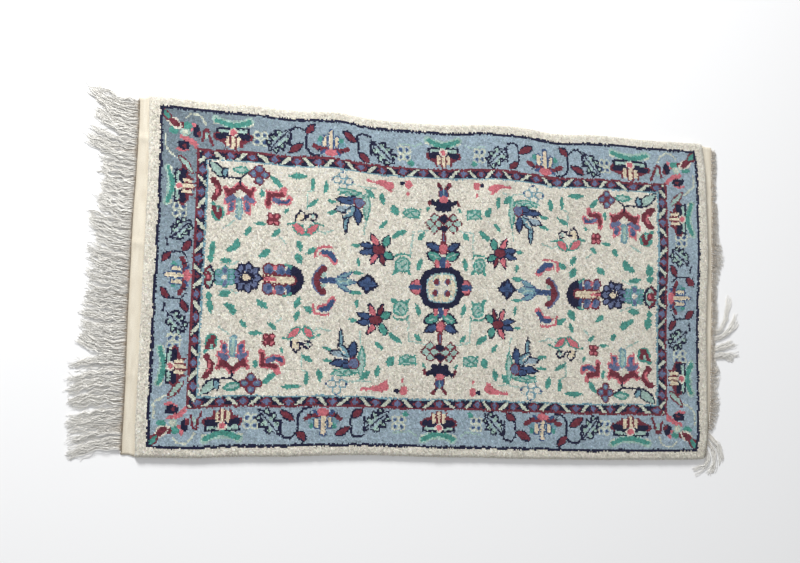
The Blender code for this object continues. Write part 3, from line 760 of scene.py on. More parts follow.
def short_border(border):
    """The repeat of the short sides: u across the rug, v inwards from the navy line."""
    border.stroke([(14.0, 24.0), (18.5, 19.5), (17.8, 12.0)], 1.5, "navy")
    border.stroke([(22.0, 7.0), (28.0, 6.0)], 1.5, "navy")
    for root, tip in (((10.0, 2.5), (18.5, 11.5)), ((18.5, 20.0), (29.0, 26.5))):
        border.edged_leaf(root, tip, 6.4, "maroon", "navy", 1.0)
    border_lily(border, 0.0)
    border_leaf(border, (28.0, 8.5), (43.5, 26.0))
    border_dots(border, 50.5, 16.0)
    border_palmette(border, 69.0)
    border.edged_leaf((79.5, 26.0), (93.0, 13.0), 6.4, "mint", "maroon")


def corner(field):
    """The spray of flowers that fills each corner of the border."""
    field.stroke([(220.8, 108), (220.8, 98), (215, 92), (211.5, 90)], 1.4, "celadon")
    field.stroke([(206, 122), (203, 125.6), (197.5, 126), (193, 123), (190.5, 118)], 1.4, "celadon")
    field.spot(214.5, 112.0, 3.6, 2.8, "green")
    field.spot(204.6, 116.2, 3.4, 3.0, "green")
    field.stroke([(212.0, 97.4), (208.0, 96.8), (204.6, 98.4)], 2.4, "pink")
    field.spot(207.0, 101.0, 4.6, 3.6, "navy")
    field.spot(210.6, 102.6, 1.8, 1.8, "navy")
    field.spot(206.4, 100.4, 1.6, 1.2, "maroon")
    field.stroke([(208.6, 107.6), (203.0, 105.4), (198.6, 101.8)], 4.0, "pink")
    field.stroke([(198.6, 103.0), (197.8, 99.6)], 2.6, "pink")
    field.spot(196.8, 109.0, 2.4, 1.8, "pink")
    field.spot(198.0, 112.5, 2.8, 5.0, "navy")
    field.spot(195.6, 110.0, 1.5, 2.4, "maroon")
    field.spot(199.8, 117.6, 1.6, 2.0, "pink")
    field.spot(201.6, 113.6, 1.4, 1.4, "pink")
    field.edged_spot(206.2, 111.4, 3.6, 3.2, "celadon", "mint", 1.3)
    field.spot(209.4, 116.6, 2.2, 2.6, "maroon")
    field.edged_leaf((220.0, 122.0), (208.8, 113.2), 7.4, "maroon", "ivory", 1.2)
    field.edged_leaf((224.0, 128.5), (216.5, 118.6), 6.4, "green", "maroon", 1.4)


def guard_band(run, depth, knots, where):
    """Zigzag guard: slanting pale bars, with an eyed block between each pair of them.

    run is the distance along the band and depth the distance into it, both in knots. The bars lean
    by turns one way and the other, so the blocks between them are wide by turns at either edge.
    """
    band = Chart(run, depth, knots, where)
    band.tie(np.ones(run.shape, bool), "navy")
    step = np.floor(run / GUARD_PITCH)
    lean = np.where(step % 2 == 0, 1.0, -1.0)
    off = run - (step + 0.5) * GUARD_PITCH
    eye = np.abs(np.mod(run + GUARD_PITCH / 2, GUARD_PITCH) - GUARD_PITCH / 2)
    band.tie(eye / 4.8 + np.abs(depth - GUARD_MIDDLE) / 4.4 < 1.0, "maroon")
    band.tie(eye / 3.2 + np.abs(depth - GUARD_MIDDLE) / 2.8 < 1.0, "mauve")
    band.tie((depth < 0.7) & (eye > 2.4), "maroon")
    slant = np.abs(off + lean * (depth - 3.1) * 1.05)
    band.tie(slant < 2.5, "navy")
    band.tie(slant < 1.8, "celadon")


def knot_chart(column, row):
    """Yarn number of every knot: the quarter design, mirrored both ways and tied a little unevenly.

    column holds the knots' places along the rug and row those across it, in knots from the middle.
    """
    x, y = np.meshgrid(column - DESIGN_SHIFT, row)
    shape = x.shape
    wander_u = HAND_WANDER * (eased_noise(*shape, 5, 11) + 0.8 * eased_noise(*shape, 1, 12))
    wander_v = HAND_WANDER * (eased_noise(*shape, 5, 13) + 0.8 * eased_noise(*shape, 1, 14))
    right_from, right_to = np.array(RIGHT_HALF).T
    u = np.where(x < 0, -x * HALF_DESIGN / HALF_LEFT, np.interp(x, right_from, right_to)) + wander_u
    v = np.abs(y + 0.6 * eased_noise(*shape, 40, 15)) + wander_v
    knots = np.zeros(shape, np.int8)
    whole = Chart(u, v, knots)
    field = Chart(u, v, knots, (u < PALE_LINE_ALONG[0]) & (v < PALE_LINE[0]))
    field_leaves(field)
    maroon_palmette(field)
    small_field_flowers(field)
    blue_palmette(field)
    star_flower(field)
    short_axis_flowers(field)
    long_axis_flowers(field)
    medallion(field)
    whole.tie((u > PALE_LINE_ALONG[0]) | (v > PALE_LINE[0]), "sky")
    long_side = v - MAROON_LINE[0] > (u - MAROON_LINE_ALONG[0]) * SHORT_STRETCH
    in_guard = (v > GUARD[0]) & (u < MAROON_LINE_ALONG[0])
    in_guard |= (u > GUARD_ALONG[0]) & (v < MAROON_LINE[0])
    across_corner = (v - GUARD[0]) > (u - GUARD_ALONG[0])
    guard_band(u, GUARD[1] - v, knots, in_guard & across_corner)
    guard_band(v + GUARD_CORNER_SHIFT, GUARD_ALONG[1] - u, knots, in_guard & ~across_corner)
    whole.tie((v > MAROON_LINE[0]) | (u > MAROON_LINE_ALONG[0]), "maroon")
    ground = (v > MAROON_LINE[1]) | (u > MAROON_LINE_ALONG[1])
    whole.tie(ground, "steel")
    long_border(Chart(u, NAVY_LINE[0] - v, knots, ground & long_side & (u < LONG_REPEAT_END)))
    inwards = (NAVY_LINE_ALONG[0] - u) * SHORT_STRETCH
    short_border(Chart(v, inwards, knots, ground & ~long_side & (v < SHORT_REPEAT_END)))
    corner(Chart(u, v, knots, ground & (u > CORNER_FROM[0]) & (v > CORNER_FROM[1])))
    whole.tie((v > NAVY_LINE[0]) | (u > NAVY_LINE_ALONG[0]), "navy")
    whole.tie((v > NAVY_LINE[1]) | (u > NAVY_LINE_ALONG[1]), "ivory")
    return knots


def pile_grid():
    """Points of the pile's surface, row by row from the near side.

    A column stands at a part of the way between the feet of the pile at its two ends, a row at a part
    of the way between the two sides, and the height is the pile's top times the shares of both.
    """
    ends = np.array(END_SECTION)
    sides = np.array(SIDE_SECTION)
    field_columns = np.arange(1, COLUMNS_OF_KNOTS) / COLUMNS_OF_KNOTS
    field_rows = np.arange(1, ROWS_OF_KNOTS) / ROWS_OF_KNOTS
    part_x = np.concatenate([np.zeros(len(ends)), field_columns, np.ones(len(ends))])
    inset_x = np.concatenate([ends[:, 0], np.zeros(len(field_columns)), -ends[::-1, 0]])
    share_x = np.concatenate([ends[:, 1], np.ones(len(field_columns)), ends[::-1, 1]])
    part_y = np.concatenate([np.zeros(len(sides)), field_rows, np.ones(len(sides))])
    inset_y = np.concatenate([sides[:, 0], np.zeros(len(field_rows)), -sides[::-1, 0]])
    share_y = np.concatenate([sides[:, 1], np.ones(len(field_rows)), sides[::-1, 1]])
    in_x, in_y = ends[-1, 0], sides[-1, 0]
    is_field_x = (part_x > 0) & (part_x < 1)
    is_field_y = (part_y > 0) & (part_y < 1)
    near, far = side_place(np.float64(0.0), -1), side_place(np.float64(0.0), 1)
    nominal_y = near + (far - near) * part_y
    left = read_table(SHORT_ENDS, 2, nominal_y)[:, None] + np.where(is_field_x, in_x, 0.0)
    right = read_table(SHORT_ENDS, 3, nominal_y)[:, None] - np.where(is_field_x, in_x, 0.0)
    x = left + (right - left) * part_x + inset_x
    near = side_place(x, -1) + np.where(is_field_y, in_y, 0.0)[:, None]
    far = side_place(x, 1) - np.where(is_field_y, in_y, 0.0)[:, None]
    y = near + (far - near) * part_y[:, None] + inset_y[:, None]
    top = WEB_TOP + (PILE_TOP - WEB_TOP + swell(x, y)) * share_x
    z = lift(x, y) + top * share_y[:, None]
    return np.stack([x, y, z], axis=-1)


def knot_places(corners):
    """Places of the knots along and across the rug, in knots from its middle."""
    along = corners[corners.shape[0] // 2, :, 0] / KNOT_PITCH
    across = corners[:, corners.shape[1] // 2, 1]
    across = (across - across[[0, -1]].mean()) / (across[-1] - across[0]) * 2 * HALF_ACROSS
    return (along[1:] + along[:-1]) / 2, (across[1:] + across[:-1]) / 2


def knotted_pile(corners, knots, material):
    """The pile as tufts: every knot is a square of the surface drawn up to a leaning crown.

    The square's corners are sunk into the gaps along the surface's own normal, and its middle is
    raised along it, each by a set height and a little chance. The strips share their border points.
    """
    rng = np.random.default_rng(5)
    along = np.gradient(corners, axis=1)
    across = np.gradient(corners, axis=0)
    normal = np.cross(along, across)
    normal /= np.linalg.norm(normal, axis=-1, keepdims=True)
    middles = (corners[1:, 1:] + corners[:-1, 1:] + corners[1:, :-1] + corners[:-1, :-1]) / 4
    middle_normal = (normal[1:, 1:] + normal[:-1, :-1]) / 2
    rows, columns = middles.shape[:2]
    bunch = eased_noise(rows, columns, 2, 21) + eased_noise(rows, columns, 5, 22) * 0.7
    height = KNOT_CROWN + KNOT_UNEVEN * (rng.normal(0, 0.8, (rows, columns)) + bunch)
    lean = rng.normal(0, KNOT_LEAN, (rows, columns, 3)) * (1, 1, 0)
    middles = middles + middle_normal * height[..., None] + lean
    dip = KNOT_VALLEY * rng.uniform(0.5, 1.3, corners.shape[:2])
    dip[[0, -1], :] = 0.0
    dip[:, [0, -1]] = 0.0
    shift = rng.normal(0, KNOT_LEAN * 0.5, corners.shape) * (1, 1, 0)
    shift[:3], shift[-3:], shift[:, :3], shift[:, -3:] = 0.0, 0.0, 0.0, 0.0
    corners = corners - normal * dip[..., None] + shift
    middles[..., 2] = np.maximum(middles[..., 2], 0.0004)
    corners[..., 2] = np.maximum(corners[..., 2], 0.0002)

    colour = yarn_colours(knots)
    pieces = []
    bounds = np.linspace(0, rows, len(PILE_STRIPS) + 1).round().astype(int)
    for name, first, last in zip(PILE_STRIPS, bounds, bounds[1:]):
        count = last - first
        points = np.concatenate([corners[first:last + 1].reshape(-1, 3),
                                 middles[first:last].reshape(-1, 3)])
        row, column = np.meshgrid(np.arange(count), np.arange(columns), indexing="ij")
        near_left = row * (columns + 1) + column
        far_left = near_left + columns + 1
        first_crown = (count + 1) * (columns + 1)
        crown = first_crown + row * columns + column
        near_right, far_right = near_left + 1, far_left + 1
        faces = np.stack([near_left, near_right, crown, near_right, far_right, crown,
                          far_right, far_left, crown, far_left, near_left, crown], axis=-1).reshape(-1, 3)
        # painted shade and highlight: each knot's colour is darkened at its sunk corners and brightened at
        # its crown
        depth = np.where(faces >= first_crown, PAINTED_HIGHLIGHT_AT_TIPS, PAINTED_SHADE_IN_GAPS).reshape(-1)
        face_colour = np.repeat(colour[first:last].reshape(-1, 3), 12, axis=0) * depth[:, None]
        grid_uv = np.stack(np.meshgrid(np.linspace(0, 1, columns + 1), np.linspace(0, 1, count + 1)), -1)
        middle_uv = (grid_uv[1:, 1:] + grid_uv[:-1, :-1]) / 2
        uv = np.concatenate([grid_uv.reshape(-1, 2), middle_uv.reshape(-1, 2)]) * 0.996 + 0.002
        pieces.append(add_piece("pile_" + name, points, faces, material, face_colour, uv[faces.ravel()]))
    return pieces


def yarn_colours(knots):
    """Colour of every knot: its yarn, with uneven dyeing along the rows and a little chance. The chance and
    the small clumps are partly random tone and partly painted shade of the tufts.
    """
    rows, columns = knots.shape
    palette = daylight([YARNS[name] for name in YARN_NAMES])
    rng = np.random.default_rng(8)
    # the broad noise is uneven dyeing; the small clumps and the knot-to-knot chance are random tone that
    # also stands in as painted shade of the tufts
    dye = 0.04 * eased_noise(rows, columns, 26, 31) + 0.06 * eased_noise(rows, columns, 3, 32)
    shade = 1.0 + dye + rng.normal(0, 0.11, (rows, columns))
    tint = 1.0 + rng.normal(0, 0.018, (rows, columns, 3))
    along, across = np.arange(columns) / columns, np.arange(rows)[:, None] / rows
    # the steel yarn is darker towards the far left corner, by up to a half
    steel_darker_far_left = np.exp(-(along / 0.22) ** 2 - ((1 - across) / 0.42) ** 2)
    shade *= 1.0 - 0.50 * steel_darker_far_left * (knots == YARN_NAMES.index("steel"))
    return np.clip(palette[knots] * shade[..., None] * tint, 0.0, 0.95)


def ground_weave(knots, material):
    """The cotton ground: a closed thin sheet with ribbed woven ends and the knots' backs beneath.

    Under the pile it is a flat sheet of even thickness. On the woven ends its top rises and falls
    with the weft ribs as a sine of the distance from the end, and across the buckles as a bell.
    """
    web_parts = np.linspace(0.0, 1.0, WEB_RIBS + 1)
    under_parts = np.linspace(0.0, 1.0, (knots.shape[1] // 2) + 1)[1:-1]
    part_y = np.linspace(0.0, 1.0, knots.shape[0] // 2 + 1)
    near, far = side_place(np.float64(0.0), -1), side_place(np.float64(0.0), 1)
    nominal_y = (near + (far - near) * part_y)[:, None]
    end_left, foot_left, foot_right, end_right = (
        read_table(SHORT_ENDS, column, nominal_y) for column in (1, 2, 3, 4))
    tuck = WEB_UNDER_PILE
    x = np.concatenate([
        end_left + (foot_left + tuck - end_left) * web_parts,
        foot_left + tuck + (foot_right - foot_left - 2 * tuck) * under_parts,
        foot_right - tuck + (end_right - foot_right + tuck) * web_parts,
    ], axis=1)
    web_share = np.concatenate([np.ones(WEB_RIBS + 1), np.zeros(len(under_parts)), np.ones(WEB_RIBS + 1)])
    part_x = np.concatenate([web_parts, np.ones(len(under_parts)), 1 - web_parts])
    inset = GROUND_INSET * (1 - web_share)
    near, far = side_place(x, -1) + inset, side_place(x, 1) - inset
    y = near + (far - near) * part_y[:, None]
    floor = lift(x, y) + FLOOR_CLEAR
    rounding = np.clip(part_x / 0.05, 0.0, 1.0) ** 0.5
    rib = RIB_HEIGHT * np.cos(2 * np.pi * part_x * WEB_RIBS / 2.0)
    wave = 0.0003 * eased_noise(*x.shape, 6, 41)
    top = GROUND_THICKNESS + web_share * (0.0003 + rib + wave)
    for place, half_width, height in WEB_BUCKLES:
        bell = np.exp(-((y - place + 0.15 * (x + 0.668)) / half_width) ** 2)
        top = top + height * bell * web_share * (x < 0) * np.sin(np.pi * np.clip(part_x, 0, 1)) ** 0.5
    top = top * (0.25 + 0.75 * rounding)
    over = np.stack([x, y, floor + top], axis=-1)
    under = np.stack([x, y, floor], axis=-1)
    rows, columns = x.shape
    index = np.arange(rows * columns).reshape(rows, columns)
    below = rows * columns
    a, b, c, d = index[:-1, :-1], index[:-1, 1:], index[1:, 1:], index[1:, :-1]
    upper = np.stack([a, b, c, d], axis=-1).reshape(-1, 4)
    lower = np.stack([a, d, c, b], axis=-1).reshape(-1, 4) + below
    loop = np.concatenate([index[0, :-1], index[:-1, -1], index[-1, :0:-1], index[:0:-1, 0]])
    after = np.roll(loop, -1)
    rim = np.stack([loop, loop + below, after + below, after], axis=-1)
    faces = np.concatenate([upper, lower, rim])
    web, shade = daylight(WEB_COLOUR), daylight(WEB_SHADE)
    column = np.arange(columns - 1)
    # painted shade over a random mottle of grime: the woven ends are browned towards the knotted edge at
    # the fringe and towards the foot of the pile
    grime_and_painted_shade = 0.5 + 0.5 * eased_noise(rows - 1, columns - 1, 5, 42)
    grime_and_painted_shade = 0.22 * grime_and_painted_shade + 0.55 * np.exp(-part_x[:-1] * 9.0) + 0.25 * np.exp(-(1 - part_x[:-1]) * 5.0)
    upper_colour = web + (shade - web) * np.clip(grime_and_painted_shade, 0, 1)[..., None]
    knot_rows = np.minimum((np.arange(rows - 1) * 2), knots.shape[0] - 1)
    knot_columns = np.clip((column - WEB_RIBS) * 2, 0, knots.shape[1] - 1)
    back = yarn_colours(knots)[np.ix_(knot_rows, knot_columns)] * 0.85
    in_web = ((column < WEB_RIBS) | (column >= columns - 1 - WEB_RIBS))[None, :, None]
    lower_colour = np.where(in_web, upper_colour, back)
    rim_colour = np.broadcast_to(web, (len(rim), 3))
    colours = np.concatenate([upper_colour.reshape(-1, 3), lower_colour.reshape(-1, 3), rim_colour])
    u, v = np.meshgrid(np.linspace(0.002, 0.998, columns), np.linspace(0.002, 0.998, rows))
    uv = np.concatenate([np.stack([u, v * 0.3], -1).reshape(-1, 2),
                         np.stack([u, 0.31 + v * 0.68], -1).reshape(-1, 2)])
    corner_uv = uv[faces.ravel()]
    corner_uv[len(upper) * 4 + len(lower) * 4:] = (0.5, 0.305)
    return add_piece("ground_weave", np.concatenate([over.reshape(-1, 3), under.reshape(-1, 3)]), faces,
                     material, np.repeat(colours, 4, axis=0), corner_uv)


def yarn_tubes(name, paths, radius, colours, material):
    """Four-sided yarns carried along paths: strands by steps by 3, tapering by their own radius.

    Each ring is a square turned an eighth, square to the yarn's heading, and the ends are closed.
    """
    strands, rings = paths.shape[:2]
    forward = np.gradient(paths, axis=1)
    forward /= np.linalg.norm(forward, axis=-1, keepdims=True)
    aside = np.cross(forward, (0.0, 0.0, 1.0))
    aside /= np.maximum(np.linalg.norm(aside, axis=-1, keepdims=True), 1e-6)
    upward = np.cross(aside, forward)
    turn = np.pi / 4 + np.arange(4) * np.pi / 2
    ring = (aside[:, :, None] * np.cos(turn)[:, None] + upward[:, :, None] * np.sin(turn)[:, None])
    points = paths[:, :, None] + ring * radius[:, :, None, None]
    points[..., 2] = np.maximum(points[..., 2], FLOOR_CLEAR)
    index = np.arange(points[..., 0].size).reshape(strands, rings, 4)
    here, following = index[:, :-1], index[:, 1:]
    walls = np.stack([here, np.roll(here, -1, axis=2), np.roll(following, -1, axis=2), following], axis=-1)
    caps = np.stack([index[:, 0, ::-1], index[:, -1]], axis=1)
    faces = np.concatenate([walls.reshape(-1, 4), caps.reshape(-1, 4)])
    tint = np.broadcast_to(colours[:, :, None], (strands, rings, 4, 3)).reshape(-1, 3)
    cells = math.ceil(math.sqrt(strands))
    number = np.arange(strands)
    cell_u = (number % cells)[:, None, None] + np.array([0.1, 0.4, 0.6, 0.9])
    cell_v = (number // cells)[:, None, None] + np.linspace(0.08, 0.92, rings)[:, None]
    uv = np.stack(np.broadcast_arrays(cell_u, cell_v), axis=-1).reshape(-1, 2) / cells
    return add_piece(name, points.reshape(-1, 3), faces, material, tint[faces.ravel()], uv[faces.ravel()])


def bent_paths(root, way, tip, steps):
    """Points on the parabola from root to tip that passes the way point half way, for many strands."""
    share = np.linspace(0.0, 1.0, steps + 1)[None, :, None]
    control = 2 * way - (root + tip) / 2
    return ((1 - share) ** 2 * root[:, None] + 2 * share * (1 - share) * control[:, None]
            + share**2 * tip[:, None])


def crimp(plan, bundle, rng, width, length):
    """Push plan paths aside by sines of the way run, so the yarns keep the crimp of the weave.

    Each bundle has one long wave that its yarns share, and each yarn two shorter ones of its own.
    """
    steps = np.diff(plan, axis=1, prepend=plan[:, :1])
    run = np.cumsum(np.linalg.norm(steps, axis=-1), axis=1)
    forward = np.gradient(plan, axis=1)
    forward /= np.linalg.norm(forward, axis=-1, keepdims=True)
    aside = np.stack([-forward[..., 1], forward[..., 0]], axis=-1)
    bundles, strands = bundle.max() + 1, len(plan)
    shared_period = length * rng.uniform(1.3, 2.6, (bundles, 1))[bundle]
    shared_phase = rng.uniform(0, 2 * np.pi, (bundles, 1))[bundle]
    shared_width = rng.uniform(0.3, 1.5, (bundles, 1))[bundle]
    wave = shared_width * np.sin(2 * np.pi * run / shared_period + shared_phase)
    for scale, weight in ((1.0, 0.75), (2.2, 0.35)):
        period = length / scale * rng.uniform(0.6, 1.5, (strands, 1))
        phase = rng.uniform(0, 2 * np.pi, (strands, 1))
        own_width = weight * rng.uniform(0.3, 1.4, (strands, 1))
        wave = wave + own_width * np.sin(2 * np.pi * run / period + phase)
    grow = np.clip(run / (run[:, -1:] * 0.30), 0.0, 1.0)
    return plan + aside * (wave * width * grow)[..., None]


def cotton_yarns(name, plan, rise, radius, shade, rng, material):
    """Yarns along plan paths at a rise above the floor, never lower than their own radius.

    Their colour runs from brown at the roots, painted shade with some grime and wear, to clean cotton.
    """
    paths = np.concatenate([plan, np.maximum(rise, radius + FLOOR_CLEAR)[..., None]], axis=-1)
    white, brown = daylight(COTTON_WHITE), daylight(COTTON_SHADE)
    shade = np.clip(shade, 0, 1)
    tone = rng.normal(1.0, 0.05, (len(shade), 1, 1))
    colours = np.clip((white + (brown - white) * shade[..., None]) * tone, 0.0, 0.95)
    return yarn_tubes(name, paths, radius, colours, material)


def long_fringe(material):
    """The long fringe: crimped yarns in bundles, fanned between the first and last strand of a lock.

    A bundle's yarns start side by side, draw together a third of the way out and fan at the tip.
    """
    rng = np.random.default_rng(61)
    roots, ways, tips, bundle_of = [], [], [], []
    started = 0
    for bundles, root_from, root_to, tip_from, tip_to, reach, sway in LONG_LOCKS:
        count = bundles * YARNS_IN_BUNDLE
        in_bundle = (np.arange(count) % YARNS_IN_BUNDLE + rng.uniform(0, 1, count)) / YARNS_IN_BUNDLE - 0.5
        bundle = np.arange(count) // YARNS_IN_BUNDLE
        middle = (bundle + 0.5) / bundles
        part = middle + in_bundle / bundles
        stray = rng.normal(0, 0.0030, bundles)[bundle]
        root_y = root_from + (root_to - root_from) * part
        core_y = root_from + (root_to - root_from) * (middle + 0.45 * in_bundle / bundles)
        tip_y = tip_from + (tip_to - tip_from) * part + stray + rng.normal(0, 0.0040, count)
        end_x = read_table(SHORT_ENDS, 1, root_y)
        bundle_cut = rng.uniform(-0.10, 0.05, bundles)[bundle]
        yarn_cut = 0.22 * rng.beta(1.1, 2.6, count)
        ragged = 1.0 + bundle_cut - yarn_cut + 0.04 * rng.normal(0, 1, count).clip(-1, 1.4)
        root = np.stack([end_x + ROOT_TUCK, root_y], axis=-1)
        tip = np.stack([end_x - reach * ragged, tip_y], axis=-1)
        way = root + (tip - root) * 0.5
        way[:, 1] = core_y + (tip_y - core_y) * (0.5 - 0.5 * LONG_LEAD) + sway + 0.4 * stray
        way += rng.normal(0, 0.0015, way.shape)
        roots.append(root)
        ways.append(way)
        tips.append(tip)
        bundle_of.append(bundle + started)
        started += bundles
    root, way, tip, bundle = (np.concatenate(parts) for parts in (roots, ways, tips, bundle_of))
    astray = rng.choice(len(root), STRAY_YARNS, replace=False)
    tip[astray] += rng.normal(0, 1, (STRAY_YARNS, 2)) * (0.008, 0.016)
    way[astray] += rng.normal(0, 0.007, (STRAY_YARNS, 2))
    strands = len(root)
    plan = crimp(bent_paths(root, way, tip, LONG_STEPS), bundle, rng, 0.0021, 0.019)
    share = np.linspace(0.0, 1.0, LONG_STEPS + 1)[None, :]
    layer = rng.uniform(0.0, 1.0, (strands, 1)) * 0.7
    layer = np.clip(layer + rng.uniform(0, 0.3, (started, 1))[bundle], 0, 1)
    rise = 0.0010 + 0.0058 * layer * np.sin(np.pi * share ** 0.8) ** 0.8
    rise = rise + 0.0024 * (1 - share) ** 4 + 0.0012 * layer * share
    rise += 0.0008 * np.sin(2 * np.pi * (share * rng.uniform(2, 5, (strands, 1)) + layer))
    radius = rng.uniform(0.00050, 0.00090, (strands, 1)) * (1 - 0.45 * share**3)
    # painted shade: browner near the roots and, further out, on the lower yarns that lie under the others;
    # a little random brown tint on top
    low = (1 - layer) ** 1.5
    shade = 0.45 * np.exp(-share * 22.0) + 0.75 * low * np.exp(-share * 3.2)
    shade = shade + 0.12 * rng.uniform(0, 1, (strands, 1)) ** 3
    return cotton_yarns("long_fringe", plan, rise, radius, shade, rng, material)


def short_fringe(material):
    """The trodden short fringe: brief curled yarns along the right end."""
    rng = np.random.default_rng(62)
    root_y = np.linspace(SHORT_FROM, SHORT_TO, SHORT_YARNS) + rng.normal(0, 0.0008, SHORT_YARNS)
    end_x = read_table(SHORT_ENDS, 4, root_y)
    reach = read_table(SHORT_REACH, 1, root_y) * (1.0 - 0.55 * rng.beta(1.1, 1.8, SHORT_YARNS)) + 0.001
    lean = read_table(SHORT_REACH, 2, root_y) + rng.normal(0, 0.0040, SHORT_YARNS)
    root = np.stack([end_x - SHORT_ROOT_TUCK, root_y], axis=-1)
    tip = root + np.stack([reach + SHORT_ROOT_TUCK, lean], axis=-1)
    way = root + (tip - root) * (0.5, 0.25) + rng.normal(0, 0.0022, root.shape)
    bundle = np.arange(SHORT_YARNS) // YARNS_IN_SHORT_BUNDLE
    plan = crimp(bent_paths(root, way, tip, SHORT_STEPS), bundle, rng, 0.0017, 0.011)
    share = np.linspace(0.0, 1.0, SHORT_STEPS + 1)[None, :]
    layer = rng.uniform(0.0, 1.0, (SHORT_YARNS, 1))
    rise = 0.0014 + 0.0036 * layer * np.sin(np.pi * share ** 0.8) + 0.0008 * (1 - share)
    radius = rng.uniform(0.00045, 0.00075, (SHORT_YARNS, 1)) * (1 - 0.4 * share**3)
    # painted shade: browner towards the roots, which lie in the shade of the rug's end; a little random
    # brown tint on top
    shade = 0.70 * (1 - share) ** 1.2 + 0.25 * rng.uniform(0, 1, (SHORT_YARNS, 1)) ** 2 + 0.08
    return cotton_yarns("short_fringe", plan, rise, radius, shade, rng, material)


def loose_locks(material):
    """The locks that have come out of the short fringe and lie on the floor beside it."""
    rng = np.random.default_rng(63)
    roots, ways, tips = [], [], []
    for bundles, root_from, root_to, way_from, way_to, tip_from, tip_to in LOOSE_LOCKS:
        count = bundles * LOOSE_YARNS_IN_BUNDLE
        part = np.clip((np.arange(count) + rng.uniform(0, 1, count)) / count, 0, 1)[:, None]
        root_y = root_from + (root_to - root_from) * part[:, 0]
        roots.append(np.stack([read_table(SHORT_ENDS, 4, root_y) - SHORT_ROOT_TUCK, root_y], axis=-1))
        ways.append(way_from + np.subtract(way_to, way_from) * part + rng.normal(0, 0.0014, (count, 2)))
        end = tip_from + np.subtract(tip_to, tip_from) * part
        cut = 1.0 - 0.22 * rng.beta(1.2, 2.4, (count, 1))
        tips.append(roots[-1] + (end - roots[-1]) * cut + rng.normal(0, 0.0016, (count, 2)))
    root, way, tip = (np.concatenate(parts) for parts in (roots, ways, tips))
    strands = len(root)
    bundle = np.arange(strands) // LOOSE_YARNS_IN_BUNDLE
    plan = crimp(bent_paths(root, way, tip, LOOSE_STEPS), bundle, rng, 0.0014, 0.016)
    share = np.linspace(0.0, 1.0, LOOSE_STEPS + 1)[None, :]
    layer = rng.uniform(0.0, 1.0, (strands, 1))
    rise = 0.0012 + 0.0036 * layer * np.sin(np.pi * share ** 0.8)
    radius = rng.uniform(0.00050, 0.00080, (strands, 1)) * (1 - 0.45 * share**3)
    # painted shade: browner near the roots; a little random brown tint on top
    shade = 0.55 * np.exp(-share * 8.0) + 0.15 * rng.uniform(0, 1, (strands, 1)) ** 2
    return cotton_yarns("loose_locks", plan, rise, radius, shade, rng, material)


def knotted_edge(name, material):
    """The ridge of small knots where a woven end turns into its fringe.

    A tube along the end whose radius swells and shrinks as a rounded sine, one swell for each knot.
    """
    side, far, near, column, seed = END_RIDGES[name]
    rng = np.random.default_rng(seed)
    rings = RIDGE_KNOTS * RINGS_IN_KNOT + 1
    y = np.linspace(far, near, rings)
    beat = np.abs(np.sin(np.pi * RIDGE_KNOTS * (y - far) / (near - far)))
    uneven = np.repeat(rng.uniform(0.65, 1.25, RIDGE_KNOTS), RINGS_IN_KNOT)
    uneven = np.append(uneven, uneven[-1])
    radius = 0.0007 + 0.0010 * beat**0.7 * uneven
    x = read_table(SHORT_ENDS, column, y) + side * 0.0002 + 0.0005 * np.sin(y * 140.0)
    turn = np.arange(8) * np.pi / 4
    around_x = x[:, None] + 0.8 * radius[:, None] * np.cos(turn)
    around_z = 0.0021 + radius[:, None] * np.sin(turn)
    points = np.stack([around_x, np.broadcast_to(y[:, None], around_x.shape),
                       np.maximum(around_z, 0.0002)], axis=-1)
    index = np.arange(rings * 8).reshape(rings, 8)
    here, following = index[:-1], index[1:]
    walls = np.stack([here, np.roll(here, -1, 1), np.roll(following, -1, 1), following], axis=-1)
    walls = walls.reshape(-1, 4)
    caps = np.array([[0, 3, 2, 1], [0, 5, 4, 3], [0, 7, 6, 5]])
    last = (rings - 1) * 8
    faces = np.concatenate([walls, caps, caps[:, ::-1] + last])
    white, brown = daylight(COTTON_WHITE), daylight(COTTON_SHADE)
    # painted shade: the ridge is browner in the dips between the knots and white on their swells
    tint = brown + (white - brown) * np.clip(0.25 + 0.75 * beat**1.5, 0, 1)[:, None]
    tint = np.repeat(tint, 8, axis=0)
    u, v = np.meshgrid(np.linspace(0.05, 0.95, 8), np.linspace(0.01, 0.99, rings))
    uv = np.stack([u, v], axis=-1).reshape(-1, 2)
    return add_piece(name, points.reshape(-1, 3), faces, material, tint[faces.ravel()], uv[faces.ravel()])


def set_inputs(node, values):
    """Set a node's inputs by name."""
    for name, value in values.items():
        node.inputs[name].default_value = value


